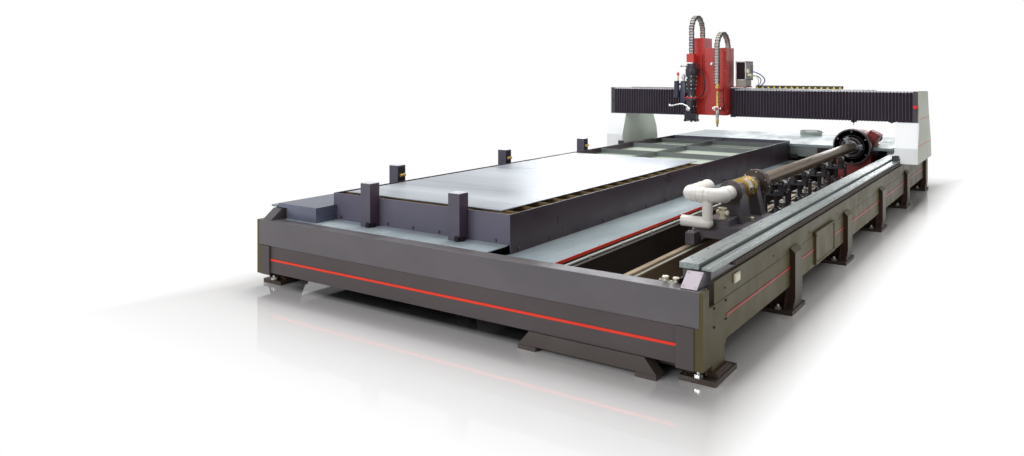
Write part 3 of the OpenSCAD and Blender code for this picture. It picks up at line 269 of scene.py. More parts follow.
def paint(name, colour, roughness=0.42, mottle=0.10, scuff_and_highlight=0.3, side=None, flank=None, gloss=0.5):
    """Sprayed machine paint: a little uneven, with orange peel, faint streaks and edges lighter in places,
    which are rubbed paint and painted highlight.

    side gives another colour to the outer sides of the table, beyond the front panels' ends, and
    flank a darker colour to the faces that look sideways, as painted shade."""
    material, tree, shader = blank(name, roughness)
    patch = noise_at(tree, 1.6, (1, 0.35, 1.6), 6.0)
    base = mottled(tree, patch, colour, mottle)
    if side:
        beyond = sum_of(tree, "GREATER_THAN", unsigned(tree, measured(tree)[0]), 1.7905)
        base = mixed(tree, beyond, base, mottled(tree, patch, side, mottle))
    if flank:
        sideways = sum_of(tree, "GREATER_THAN", unsigned(tree, measured(tree, "Normal")[0]), 0.7)
        base = mixed(tree, sideways, base, mottled(tree, patch, flank, mottle))
    shader.inputs["Specular IOR Level"].default_value = gloss
    coloured(tree, shader, rubbed_and_highlit_edges(tree, base, colour, scuff_and_highlight))
    gloss_between(tree, shader, noise_at(tree, 5.0), roughness - 0.07, roughness + 0.09)
    ripple(tree, shader, noise_at(tree, 260.0, detail=2.0), 0.35, 0.0006)
    return material


def bare_steel(name, colour, roughness=0.3, lay=(1, 0.03, 1), mottle=0.12, metallic=0.9, scale=60.0):
    """Rolled or ground steel: fine lines along the work, cloudy patches, small changes in gloss."""
    material, tree, shader = blank(name, roughness, metallic)
    lines = noise_at(tree, scale, lay, 3.0)
    both = both_of(tree, lines, 0.5, noise_at(tree, 1.4, detail=4.0))
    coloured(tree, shader, mottled(tree, both, colour, mottle, 0.34, 0.66))
    gloss_between(tree, shader, lines, roughness - 0.08, roughness + 0.12)
    ripple(tree, shader, lines, 0.2, 0.0004)
    return material


def ease(names, width=0.0025):
    """Rounds the sharp edges of CAD pieces a little, as folded and ground edges are."""
    for name in names:
        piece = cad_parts[name]
        weld = piece.modifiers.new("weld", "WELD")
        weld.merge_threshold = 0.00005
        edge = piece.modifiers.new("edge", "BEVEL")
        edge.width = width
        edge.segments = 2
        edge.limit_method = "ANGLE"
        edge.angle_limit = math.radians(32)
        edge.harden_normals = True


def block(mesh, low, high, chamfer=0.0015, turn=None):
    """A bar between two corners with its edges taken off; turn places it when it stands at an angle."""
    verts = []
    for corner in itertools.product((0, 1), repeat=3):
        outer = [high[i] if corner[i] else low[i] for i in range(3)]
        inner = [outer[i] + (-chamfer if corner[i] else chamfer) for i in range(3)]
        for keep in range(3):
            point = Vector([outer[i] if i == keep else inner[i] for i in range(3)])
            verts.append(mesh.verts.new(turn @ point if turn else point))
    bmesh.ops.convex_hull(mesh, input=verts)


def skin(mesh, rings):
    """Faces from one ring of points to the next, and a lid on each end."""
    for a, b in zip(rings, rings[1:]):
        for k in range(len(a)):
            after = (k + 1) % len(a)
            mesh.faces.new((a[k], a[after], b[after], b[k]))
    mesh.faces.new(rings[0][::-1])
    mesh.faces.new(rings[-1])


def turned(mesh, place, axis, profile, sides=24):
    """A round piece from the lathe: profile gives (distance along the axis, radius) from end to end."""
    turn = Vector(axis).to_track_quat("Z", "Y").to_matrix()
    angles = [2 * math.pi * k / sides for k in range(sides)]
    rings = []
    for along, radius in profile:
        ring = [Vector((radius * math.cos(a), radius * math.sin(a), along)) for a in angles]
        rings.append([mesh.verts.new(Vector(place) + turn @ point) for point in ring])
    skin(mesh, rings)


def cap_screw(mesh, place, axis, head=0.016):
    """A socket head screw with its hexagon hole."""
    r = head / 2
    top = r * 1.05
    turned(mesh, place, axis,
           [(0, r), (r * 0.9, r), (top, r * 0.88), (top, r * 0.55), (r * 0.5, r * 0.5)], 18)


def finished(name, mesh, materials, body):
    """The mesh as a piece in its finish, smooth except at its edges."""
    bmesh.ops.recalc_face_normals(mesh, faces=mesh.faces)
    data = bpy.data.meshes.new(name)
    mesh.to_mesh(data)
    mesh.free()
    for material in materials if isinstance(materials, (list, tuple)) else [materials]:
        data.materials.append(material)
    data.shade_smooth()
    data.set_sharp_from_angle(angle=math.radians(33))
    piece = put(name, data, body)
    return piece


frame_paint = paint("frame_paint", srgb(92, 88, 91), 0.36, gloss=0.36)
wear(["end_beams", "side_beams"], frame_paint)
ease(["end_beams", "side_beams"], 0.003)
zinc = bare_steel("zinc_plate", srgb(196, 196, 192), 0.3, (1, 1, 1))
# The pale plate on the slanted gusset stands in for the light it reflects: a painted highlight.
highlight_plate_paint = paint("pale_highlight_plate", srgb(214, 204, 214), 0.3, 0.05)

panel_top = 0.522
gusset_x = (1.702, 1.799)
gusset_foot = Vector((0, -4.472, panel_top))
gusset_head = Vector((0, -4.367, 0.600))
slope = gusset_head - gusset_foot
gusset_middle = (sum(gusset_x) / 2, gusset_foot.y, gusset_foot.z)
lean = Matrix.Translation(gusset_middle) @ Matrix.Rotation(math.atan2(slope.z, slope.y), 4, "X")
half_width = (gusset_x[1] - gusset_x[0]) / 2 - 0.002
mesh = bmesh.new()
block(mesh, (-half_width, 0.003, 0.0004), (half_width, slope.length - 0.003, 0.0045), 0.001, lean)
finished("gusset_cover", mesh, highlight_plate_paint, "table")
mesh = bmesh.new()
for x, up in itertools.product((-0.034, 0.034), (0.018, slope.length - 0.018)):
    cap_screw(mesh, lean @ Vector((x, up, 0.004)), lean.to_3x3() @ Vector((0, 0, 1)), 0.009)
finished("gusset_screws", mesh, zinc, "table")

# Side panels, legs and feet.
# Folded sheet panels, dark grey across the ends and olive brown along the sides, stiffened by welded
# box legs on dark foot plates. A small cable box is screwed on near the right front corner.
side_paint = paint("side_paint", srgb(84, 77, 78), 0.42, side=srgb(86, 79, 52), gloss=0.14)
wear("skirt_panels", side_paint)
ease(["skirt_panels"], 0.0025)
plate_paint = paint("plate_paint", srgb(86, 78, 50), 0.4, gloss=0.14)
wear("blank_plate", plate_paint)
# Legs and ribs: olive on the sideways faces above the foot, darker brown on the faces that look forwards and
# backwards, which is painted shade, and darker brown on every face near the foot.
leg_paint, tree, shader = blank("leg_paint", 0.38)
stain = noise_at(tree, 2.4, (1, 1, 0.5), 5.0)
flank = sum_of(tree, "GREATER_THAN", unsigned(tree, measured(tree, "Normal")[0]), 0.6)
above_foot = spread(tree, measured(tree)[2], 0.08, 0.26, 0.0, 1.0)
brown = ramp(tree, stain, 0.3, 0.7, srgb(58, 42, 36), srgb(74, 56, 46))
olive = ramp(tree, stain, 0.3, 0.7, srgb(74, 67, 40), srgb(86, 78, 48))
body = mixed(tree, sum_of(tree, "MULTIPLY", flank, above_foot), brown, olive)
shader.inputs["Specular IOR Level"].default_value = 0.14
coloured(tree, shader, rubbed_and_highlit_edges(tree, body, srgb(84, 76, 54), 0.25))
gloss_between(tree, shader, stain, 0.32, 0.48)
wear("side_legs", leg_paint)
ease(["side_legs"], 0.004)
wear("foot_plates", paint("foot_paint", srgb(56, 43, 35), 0.5))
ease(["foot_plates"], 0.003)
wear("levelling_screws", zinc)
wear("lifting_skid", paint("skid_paint", srgb(66, 58, 55), 0.5))
ease(["lifting_skid"], 0.003)


def corners(name):
    """The lowest and highest corner of the box round a CAD piece."""
    low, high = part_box(name)
    return Vector(low), Vector(high)


# Ribs between the legs and their foot plates, beside the levelling screws.
leg_low, leg_high = corners("side_legs")
foot_high = corners("foot_plates")[1]
leg_length, leg_first = 0.190, -2.828
leg_step = (leg_high.y - leg_length - leg_first) / 4
foot_x, foot_top = foot_high.x - 0.105, foot_high.z
spans = [(leg_low.y, leg_low.y + 0.185)]
spans += [(leg_first + leg_step * i, leg_first + leg_step * i + leg_length) for i in range(5)]
rib_half, rib_tall, sunk = 0.004, 0.130, 0.0004
short_reach, long_reach = 0.034, 0.064
mesh = bmesh.new()
for side, (front, back), dx in itertools.product((-1, 1), spans, (-0.046, 0.046)):
    x = sorted((side * (foot_x + dx - rib_half), side * (foot_x + dx + rib_half)))
    for y, reach in ((front, -short_reach if front < -4 else -long_reach), (back, long_reach)):
        foot = foot_top - (0.019 if abs(reach) == long_reach else sunk)
        outline = [(y, foot_top - sunk), (y + reach, foot), (y + reach, foot_top + 0.012),
                   (y, foot_top + rib_tall)]
        bmesh.ops.convex_hull(mesh, input=[mesh.verts.new((at, *point)) for at in x for point in outline])
for side, (front, back) in itertools.product((-1, 1), spans):
    x = sorted((side * (foot_x - 0.094), side * (foot_x + 0.0945)))
    block(mesh, (x[0], front - 0.010, foot_top - 0.0005), (x[1], back + 0.010, foot_top + 0.016), 0.005)
finished("foot_ribs", mesh, leg_paint, "table")

plate_low, plate_high = corners("blank_plate")
mesh = bmesh.new()
rim = 0.016
for side in (-1, 1):
    x = sorted((side * (plate_high.x - 0.001), side * (plate_high.x + 0.005)))
    for y0, y1, z0, z1 in ((plate_low.y, plate_high.y, plate_high.z - rim, plate_high.z),
                           (plate_low.y, plate_high.y, plate_low.z, plate_low.z + rim),
                           (plate_low.y, plate_low.y + rim, plate_low.z + rim, plate_high.z - rim),
                           (plate_high.y - rim, plate_high.y, plate_low.z + rim, plate_high.z - rim)):
        block(mesh, (x[0], y0, z0), (x[1], y1, z1), 0.0012)
finished("plate_rims", mesh, plate_paint, "table")

skirt_high = corners("skirt_panels")[1]
plate_ys = (plate_low.y + 0.030, plate_high.y - 0.030)
plate_zs = (plate_low.z + 0.030, plate_high.z - 0.030)
corner_plate_screws = ((-4.332, 0.404), (-4.147, 0.405), (-4.332, 0.30), (-4.147, 0.30))
row_first, row_step, row_z = -4.147, 0.93, 0.474
mesh = bmesh.new()
for side in (-1, 1):
    x = side * (skirt_high.x - 0.0003)
    for y, z in itertools.product(plate_ys, plate_zs):
        cap_screw(mesh, (side * plate_high.x, y, z), (side, 0, 0), 0.012)
    for y, z in corner_plate_screws:
        cap_screw(mesh, (x, y, z), (side, 0, 0), 0.013)
    for i in range(10):
        cap_screw(mesh, (x - side * 0.004, row_first + i * row_step, row_z), (side, 0, 0), 0.009)
black_screws = bare_steel("black_screws", srgb(52, 46, 42), 0.4, (1, 1, 1))
finished("panel_screws", mesh, black_screws, "table")

cable_box_x, cable_box_y, cable_box_z = skirt_high.x - 0.004, (-4.006, -3.914), (0.468, panel_top)
mesh = bmesh.new()
block(mesh, (cable_box_x, cable_box_y[0], cable_box_z[0]),
      (cable_box_x + 0.012, cable_box_y[1], cable_box_z[1]), 0.003)
block(mesh, (cable_box_x + 0.011, cable_box_y[0] + 0.008, cable_box_z[0] + 0.007),
      (cable_box_x + 0.015, cable_box_y[1] - 0.008, cable_box_z[1] - 0.007), 0.0015)
finished("cable_box", mesh, paint("box_cream", srgb(226, 220, 196), 0.3, 0.04), "table")

# Red stripes.
# Thin flat strips along the panels and along the walkway's edge, sprayed red and glued on. Those on
# the table's sides are painted a darker red.
stripe_paint = paint("stripe_paint", srgb(228, 60, 40), 0.34, 0.05, 0.1, side=srgb(164, 48, 40), gloss=0.2)
wear("red_stripes", stripe_paint)

# Guide rails and racks.
# Ground steel rails on the side beams, with broad cap strips beside them and gear racks outside.
# The left cap is a broad painted shelf. Socket screws hold the cap strips down.
rail_steel, tree, shader = blank("rail_steel", 0.2, 0.45)
lines = noise_at(tree, 55.0, (1, 0.02, 1), 3.0)
patches = noise_at(tree, 1.1, (1, 0.5, 1), 4.0)
ground = ramp(tree, both_of(tree, lines, 0.4, patches), 0.36, 0.64, srgb(120, 130, 130), srgb(152, 162, 160))
shelf = ramp(tree, patches, 0.3, 0.7, srgb(100, 104, 122), srgb(114, 118, 136))
across = measured(tree)[0]
on_shelf = sum_of(tree, "MULTIPLY", sum_of(tree, "LESS_THAN", across, 0.0),
                  sum_of(tree, "GREATER_THAN", across, -1.764))
coloured(tree, shader, mixed(tree, on_shelf, ground, shelf))
gloss_between(tree, shader, lines, 0.24, 0.38)
ripple(tree, shader, lines, 0.2, 0.0004)
wear("guide_rails", rail_steel)
ease(["guide_rails"], 0.003)
wear("gear_racks", bare_steel("rack_steel", srgb(74, 66, 60), 0.42))
rail_low, rail_high = corners("guide_rails")
screw_first, screw_step = rail_low.y + 0.13, 0.258
mesh = bmesh.new()
for x, i in itertools.product((1.668, 1.741, -1.741), range(34)):
    turned(mesh, (x, screw_first + i * screw_step, rail_high.z - 0.0006), (0, 0, 1),
           [(0, 0.0095), (0.0012, 0.0095), (0.0013, 0.0088), (0.0013, 0.0052), (-0.003, 0.005)], 16)
cap_screws = bare_steel("cap_screws", srgb(86, 88, 88), 0.35, (1, 1, 1))
finished("cap_strip_screws", mesh, cap_screws, "table")

# Sheet bed.
# Dark painted walls round slats and bearers, with pale trays under them, and a bright steel sheet
# lying on the slats.
# The walls' sideways faces take a darker copy of the paint: painted shade.
bed_paint = paint("bed_paint", srgb(96, 93, 108), 0.33, flank=srgb(58, 46, 54), gloss=0.34)
wear("bed_walls", bed_paint)
ease(["bed_walls"], 0.002)
wear("bed_bearers", paint("bearer_paint", srgb(104, 110, 110), 0.45))
wear("slats", bare_steel("slat_steel", srgb(124, 102, 70), 0.5, (0.05, 1, 1)))
wear("slag_trays", paint("tray_paint", srgb(188, 198, 186), 0.5))
sheet_steel, tree, shader = blank("sheet_steel", 0.3, 0.25)
bands = noise_at(tree, 2.6, (0.12, 1, 1), 3.0)
grain = noise_at(tree, 34.0, (0.02, 1, 1), 3.0)
both = both_of(tree, bands, 0.75, grain)
coloured(tree, shader, ramp(tree, both, 0.34, 0.66, srgb(150, 158, 168), srgb(188, 195, 203)))
gloss_between(tree, shader, both, 0.24, 0.42)
ripple(tree, shader, grain, 0.12, 0.0004)
wear("steel_sheet", sheet_steel)
ease(["steel_sheet"], 0.0008)


def bolt(mesh, place, axis, across=0.019):
    """A hexagon bolt head on its washer."""
    r = across / 2
    turned(mesh, place, axis, [(0, r * 1.5), (0.0022, r * 1.5), (0.0027, r * 1.4)], 20)
    turned(mesh, place, axis, [(0.002, r * 1.1), (0.002 + r * 0.95, r * 1.1), (0.002 + r * 1.15, r * 0.9)], 6)


wall_low, wall_high = corners("bed_walls")
bolt_across, right_z, left_z, front_z = 0.015, 0.484, 0.662, 0.545
mesh = bmesh.new()
for i in range(17):
    y = wall_low.y + 0.10 + i * 0.41
    bolt(mesh, (wall_high.x, y, right_z), (1, 0, 0), bolt_across)
    bolt(mesh, (wall_low.x, y, left_z), (-1, 0, 0), bolt_across)
for i in range(7):
    bolt(mesh, (wall_low.x + 0.09 + i * 0.25, wall_low.y, front_z), (0, -1, 0), bolt_across)
bed_bolt_steel = bare_steel("bed_bolt_steel", srgb(96, 92, 98), 0.4, (1, 1, 1))
finished("bed_bolts", mesh, bed_bolt_steel, "table")

# Angle stop at the rear end of the walkway, fixed to the bed's wall.
stop_foot = Vector((wall_high.x, wall_high.y - 0.075, 0.500))
long_leg, wall_leg, lip = (0.120, 0.008, 0.056), (0.007, 0.063, 0.056), (0.120, 0.008, 0.040)
mesh = bmesh.new()
for low, high in (((0, 0, 0), long_leg), ((0, 0, 0), wall_leg), ((0.112, -0.025, 0), lip)):
    block(mesh, stop_foot + Vector(low), stop_foot + Vector(high), 0.001)
finished("walkway_stop", mesh, paint("stop_paint", srgb(40, 35, 38), 0.4), "table")

# Guide posts.
# Square steel posts in front of the bed and along its left side. The front ones have pale screwed
# lids and a small stop block at the foot; the side ones hold a brass roller in a dark plate.
# The posts' sideways faces take a darker copy of the paint: painted shade.
post_paint = paint("post_paint", srgb(84, 80, 93), 0.32, flank=srgb(72, 58, 74), gloss=0.4)
wear("guide_posts", post_paint)
ease(["guide_posts"], 0.003)
lid_paint = paint("lid_paint", srgb(224, 226, 234), 0.3, 0.04)
dark_plate = paint("dark_plate", srgb(32, 26, 33), 0.45, gloss=0.2)
brass = bare_steel("brass", srgb(196, 164, 92), 0.38, (1, 1, 1), 0.06, 0.8, 12.0)
post_w, front_top, side_top = 0.100, 0.848, 0.866
front_posts = [(x, wall_low.y - post_w, front_top) for x in (-0.104, -0.956)]
side_posts = [(wall_low.x - post_w, y, side_top) for y in (-3.392, -1.746, -0.083)]
mesh = bmesh.new()
for x, y, top in front_posts + side_posts:
    block(mesh, (x + 0.001, y + 0.001, top - 0.0005),
          (x + post_w - 0.001, y + post_w - 0.001, top + 0.005), 0.0022)
finished("post_lids", mesh, lid_paint, "table")
mesh = bmesh.new()
for x, y, top in front_posts:
    right = x + post_w
    block(mesh, (right - 0.034, y - 0.016, panel_top), (right + 0.003, y + 0.004, panel_top + 0.034), 0.0025)
    block(mesh, (right - 0.004, y + 0.010, panel_top), (right + 0.016, y + 0.052, panel_top + 0.026), 0.0025)
for x, y, top in side_posts:
    right = x + post_w
    block(mesh, (right - 0.0005, y + 0.012, 0.70), (right + 0.004, y + post_w - 0.012, top - 0.012), 0.001)
finished("post_blocks", mesh, dark_plate, "table")
mesh = bmesh.new()
for x, y, top in side_posts:
    turned(mesh, (x + post_w + 0.014, y + 0.016, 0.785), (0, 1, 0),
           [(0, 0.005), (0.004, 0.005), (0.004, 0.013), (0.064, 0.013), (0.064, 0.005), (0.068, 0.005)], 20)
finished("post_rollers", mesh, brass, "table")

# Decks and fume duct.
# Painted steel plates that people walk on, glossy from wear, screwed along their edges, with the
# fume duct under the rear one. A clamp ring is fitted round the duct's outlet.
deck_paint, tree, shader = blank("deck_paint", 0.16)
scuffs = noise_at(tree, 3.0, (1, 0.25, 1), 6.0, 0.6)
specks = noise_at(tree, 42.0, detail=3.0)
wear_marks = both_of(tree, scuffs, 0.8, specks)
coloured(tree, shader, ramp(tree, wear_marks, 0.36, 0.66, srgb(166, 181, 188), srgb(196, 210, 215)))
gloss_between(tree, shader, scuffs, 0.08, 0.24)
ripple(tree, shader, scuffs, 0.15, 0.002)
wear("deck_plates", deck_paint)
ease(["deck_plates"], 0.0015)
wear(["fume_duct", "deck_brackets"], paint("duct_paint", srgb(150, 160, 156), 0.4))
deck_high = corners("deck_plates")[1]
walkway_z, left_x, right_x, front_y = 0.460, -1.55, 1.62, -4.362
spots = [(x, -4.25 + i * 0.36, walkway_z) for x in (0.345, 0.706) for i in range(19)]
spots += [(left_x + i * 0.30, deck_high.y - 0.02, deck_high.z) for i in range(11)]
spots += [(right_x, deck_high.y - 0.12 - i * 0.30, deck_high.z) for i in range(5)]
spots += [(left_x + 0.035, deck_high.y - 0.12 - i * 0.30, deck_high.z) for i in range(6)]
spots += [(left_x + i * 0.30, front_y, panel_top) for i in range(6)]
mesh = bmesh.new()
for x, y, z in spots:
    turned(mesh, (x, y, z - 0.0006), (0, 0, 1),
           [(0, 0.008), (0.0012, 0.008), (0.0013, 0.0075), (0.0013, 0.0045), (-0.002, 0.0042)], 14)
deck_screws = bare_steel("deck_screws", srgb(104, 108, 106), 0.35, (1, 1, 1))
finished("deck_screws", mesh, deck_screws, "table")

outlet = Vector((0.240, 4.300, corners("fume_duct")[1].z))
mesh = bmesh.new()
turned(mesh, outlet - Vector((0, 0, 0.034)), (0, 0, 1),
       [(0, 0.1602), (0, 0.1640), (0.004, 0.1655), (0.018, 0.1655), (0.022, 0.1640), (0.022, 0.1602)], 64)
for ear_y in (-0.016, 0.005):
    block(mesh, outlet + Vector((0.155, ear_y, -0.032)),
          outlet + Vector((0.182, ear_y + 0.011, -0.014)), 0.001)
bolt(mesh, outlet + Vector((0.174, -0.016, -0.023)), (0, -1, 0), 0.010)
finished("outlet_clamp", mesh, zinc, "table")

# Tube pit.
# A dark trough beside the walkway, with two rails for the tail stock and the tube supports. A pale
# air pipe runs under the walkway's edge, a steel measuring strip along each rail, and two small
# drain valves sit at the front end.
wear("pit_trough", paint("pit_paint", srgb(44, 36, 34), 0.55))
wear("pit_rails", bare_steel("pit_rail_steel", srgb(176, 158, 134), 0.38))
ease(["pit_rails"], 0.002)


def hose(mesh, route, radius, sides=10):
    """A round tube laid along a route of points, as a soft curve through them."""
    route = [Vector(p) for p in route]
    full = [route[0] * 2 - route[1]] + route + [route[-1] * 2 - route[-2]]
    points = []
    for a, b, c, d in zip(full, full[1:], full[2:], full[3:]):
        for step in range(6):
            t = step / 6
            bend = (2 * a - 5 * b + 4 * c - d) * t ** 2 + (3 * b - a - 3 * c + d) * t ** 3
            points.append(0.5 * (2 * b + (c - a) * t + bend))
    points.append(route[-1])
    angles = [2 * math.pi * k / sides for k in range(sides)]
    rings, normal = [], None
    for i, point in enumerate(points):
        ahead = (points[min(i + 1, len(points) - 1)] - points[max(i - 1, 0)]).normalized()
        normal = ahead.orthogonal() if normal is None else normal - ahead * normal.dot(ahead)
        normal.normalize()
        beside = ahead.cross(normal)
        spokes = [normal * math.cos(a) + beside * math.sin(a) for a in angles]
        rings.append([mesh.verts.new(point + radius * spoke) for spoke in spokes])
    skin(mesh, rings)
    return points


pale_pipe = paint("pale_pipe", srgb(206, 212, 204), 0.35, 0.05)
pit_front = corners("pit_rails")[0].y
air_x, air_z = 0.738, 0.4245
mesh = bmesh.new()
hose(mesh, [(air_x, y, air_z) for y in (-4.36, -3.0, -1.5, 0.0, 1.5, 2.62)], 0.0095, 12)
for x in (0.984, 1.450):
    block(mesh, (x - 0.006, pit_front + 0.01, 0.2776), (x + 0.006, 2.15, 0.2815), 0.0008)
finished("air_pipe_and_strips", mesh, pale_pipe, "table")
mesh = bmesh.new()
for i in range(14):
    y = -4.25 + i * 0.5
    block(mesh, (air_x - 0.014, y, 0.4138), (air_x + 0.016, y + 0.018, 0.4168), 0.0008)
    turned(mesh, (air_x, y - 0.001, air_z), (0, 1, 0),
           [(0, 0.0096), (0, 0.0118), (0.020, 0.0118), (0.020, 0.0096)], 20)
finished("pipe_clips", mesh, zinc, "table")

valve_cream = paint("valve_cream", srgb(224, 216, 190), 0.3, 0.04)
valve_xs, valve_y = (1.568, 1.632), -4.356
mesh = bmesh.new()
for x in valve_xs:
    turned(mesh, (x, valve_y, 0.500), (0, 0, 1),
           [(0, 0.012), (0.008, 0.014), (0.026, 0.014), (0.034, 0.010)], 16)
    turned(mesh, (x, valve_y, 0.534), (0, 0, 1),
           [(0, 0.017), (0.003, 0.020), (0.010, 0.020), (0.013, 0.016)], 12)
finished("drain_valves", mesh, valve_cream, "table")
mesh = bmesh.new()
hose(mesh, [(1.53, valve_y, 0.520), *((x, valve_y, 0.518) for x in (*valve_xs, 1.650))], 0.009, 12)
block(mesh, (1.540, valve_y - 0.020, 0.440), (1.650, valve_y - 0.012, 0.500), 0.001)
finished("drain_pipe", mesh, bare_steel("drain_steel", srgb(120, 116, 112), 0.3, (1, 1, 1)), "table")

# Chuck and headstock.
# A black three-jaw chuck on a red headstock with its drive gearbox turned to one side. Cap screws
# hold the face ring, and the drive motor stands behind the gearbox.
headstock_paint = paint("headstock_paint", srgb(150, 52, 48), 0.38)
wear("headstock", headstock_paint)
ease(["headstock"], 0.004)
chuck_steel = bare_steel("chuck_steel", srgb(88, 80, 82), 0.4, (1, 1, 1), 0.2, 0.15)
wear("chuck_body", chuck_steel)
jaw_steel = bare_steel("jaw_steel", srgb(150, 152, 156), 0.28, (1, 1, 1))
wear(["jaw_1", "jaw_2", "jaw_3"], jaw_steel)
ease(["jaw_1", "jaw_2", "jaw_3"], 0.002)
tube_x, tube_z = 1.183, 0.702
chuck_front = corners("chuck_body")[0].y
face_y = chuck_front + 0.026


def around(count, first=0.0):
    """Angles of so many screws evenly round a circle, the first one at some degrees."""
    return [math.radians(first + 360 * k / count) for k in range(count)]


def round_tube(radius, angle, y):
    """A place at a distance from the tube's middle line."""
    return Vector((tube_x + radius * math.cos(angle), y, tube_z + radius * math.sin(angle)))


mesh = bmesh.new()
for a in around(6, 30):
    cap_screw(mesh, round_tube(0.196, a, face_y), (0, -1, 0), 0.022)
for a in around(12, 15):
    cap_screw(mesh, round_tube(0.117, a, chuck_front), (0, -1, 0), 0.010)
chuck_screws = bare_steel("chuck_screws", srgb(120, 118, 120), 0.3, (1, 1, 1))
finished("chuck_screws", mesh, chuck_screws, "chuck")
mesh = bmesh.new()
for inner, outer, y in ((0.150, 0.156, face_y), (0.214, 0.222, face_y), (0.098, 0.104, chuck_front)):
    turned(mesh, (tube_x, y, tube_z), (0, -1, 0),
           [(0, inner), (0.003, inner + 0.001), (0.003, outer - 0.001), (0, outer)], 72)
finished("chuck_rings", mesh, chuck_steel, "chuck")
mesh = bmesh.new()
turned(mesh, (tube_x, chuck_front, tube_z), (0, -1, 0),
       [(0, 0.0625), (0.010, 0.0625), (0.014, 0.067), (0.014, 0.078), (0.008, 0.083), (0, 0.083)], 64)
finished("bright_collar", mesh, jaw_steel, "chuck")

gearbox_place = (tube_x + 0.206, corners("headstock")[0].y + 0.190, tube_z + 0.096)
gearbox = Matrix.Translation(gearbox_place) @ Matrix.Rotation(math.radians(28), 4, "Y")
mesh = bmesh.new()
block(mesh, (-0.062, -0.118, -0.086), (0.062, -0.108, 0.086), 0.003, gearbox)
block(mesh, (-0.040, -0.126, -0.060), (0.040, -0.116, 0.060), 0.004, gearbox)
turned(mesh, gearbox @ Vector((0.0, 0.108, 0.0)), (0, 1, 0),
       [(0, 0.060), (0.012, 0.064), (0.200, 0.064), (0.224, 0.056)], 36)
finished("gearbox_cover", mesh, headstock_paint, "table")
mesh = bmesh.new()
for k in range(11):
    turned(mesh, gearbox @ Vector((0.0, 0.135 + 0.015 * k, 0.0)), (0, 1, 0),
           [(0, 0.062), (0.001, 0.070), (0.005, 0.070), (0.006, 0.062)], 36)
for x, z in itertools.product((-0.052, 0.052), (-0.076, 0.076)):
    cap_screw(mesh, gearbox @ Vector((x, -0.117, z)), gearbox.to_3x3() @ Vector((0, -1, 0)), 0.012)
fin_steel = bare_steel("fin_steel", srgb(66, 40, 40), 0.4, (1, 1, 1))
finished("motor_fins", mesh, fin_steel, "table")

# Steel tube.
# A hot rolled tube, brown with mill scale along its length. The chuck's jaws hold one end of it, and
# the rollers of the tube supports carry it.
tube_steel, tree, shader = blank("tube_steel", 0.32, 0.45)
scale_lines = noise_at(tree, 26.0, (1, 0.015, 1), 4.0)
both = both_of(tree, scale_lines, 0.55, noise_at(tree, 3.2, (1, 0.25, 1), 6.0))
coloured(tree, shader, ramp(tree, both, 0.34, 0.66, srgb(92, 78, 64), srgb(140, 122, 100)))
gloss_between(tree, shader, both, 0.22, 0.42)
ripple(tree, shader, scale_lines, 0.25, 0.0006)
wear("steel_tube", tube_steel)

# Tail stock.
# A cast saddle with two housings for the hollow tail shaft, sprayed grey. A brass gland with a bright
# sleeve lets the shaft turn, and a cream fume pipe with clamp bands is bolted on in front.
tail_paint = paint("tail_paint", srgb(88, 84, 90), 0.36)
wear("tailstock", tail_paint)
ease(["tailstock"], 0.005)
ring_steel = bare_steel("ring_steel", srgb(84, 72, 66), 0.34, (1, 1, 1), 0.2, 0.4)
wear("tail_ring", ring_steel)
wear("swivel_gland", brass)
ease(["swivel_gland"], 0.002)
pipe_cream, tree, shader = blank("pipe_cream", 0.28)
stain = noise_at(tree, 7.0, (1, 1, 0.6), 5.0)
cream = ramp(tree, stain, 0.30, 0.66, srgb(244, 241, 233), srgb(252, 250, 246))
coloured(tree, shader, rubbed_and_highlit_edges(tree, cream, srgb(250, 247, 238), 0.3))
gloss_between(tree, shader, stain, 0.2, 0.38)
wear("fume_pipe", pipe_cream)
gland_low, gland_high = corners("swivel_gland")
front_housing, rear_housing = (-2.150, -1.960), (-1.694, -1.584)
pipe_r, pipe_y, bend = 0.058, -2.410, 0.082
elbow_x = tube_x - 2 * bend - 0.108

mesh = bmesh.new()
bands = [((tube_x - bend, pipe_y, tube_z), (1, 0, 0)), ((elbow_x + bend, pipe_y, tube_z), (1, 0, 0)),
         ((tube_x, pipe_y + bend, tube_z), (0, 1, 0)), ((elbow_x, pipe_y + bend, tube_z), (0, 1, 0)),
         ((elbow_x, pipe_y + bend + 0.240, tube_z), (0, 1, 0))]
for place, axis in bands:
    turned(mesh, Vector(place) - Vector(axis) * 0.006, axis,
           [(0, pipe_r - 0.001), (0.001, pipe_r + 0.003), (0.011, pipe_r + 0.003),
            (0.012, pipe_r - 0.001)], 40)
turned(mesh, (elbow_x, front_housing[1], tube_z), (0, 1, 0),
       [(0, pipe_r - 0.001), (0.002, pipe_r + 0.004), (0.010, pipe_r + 0.004), (0.0125, pipe_r)], 40)
finished("pipe_bands", mesh, pipe_cream, "tail")

mesh = bmesh.new()
turned(mesh, (tube_x, front_housing[0] - 0.012, tube_z), (0, 1, 0),
       [(-0.008, 0.070), (-0.008, 0.096), (0.010, 0.098), (0.012, 0.070)], 40)
for a in around(8, 22.5):
    bolt(mesh, round_tube(0.084, a, front_housing[0] - 0.020), (0, -1, 0), 0.011)
flange_steel = bare_steel("flange_steel", srgb(84, 80, 80), 0.36, (1, 1, 1))
finished("pipe_flange", mesh, flange_steel, "tail")

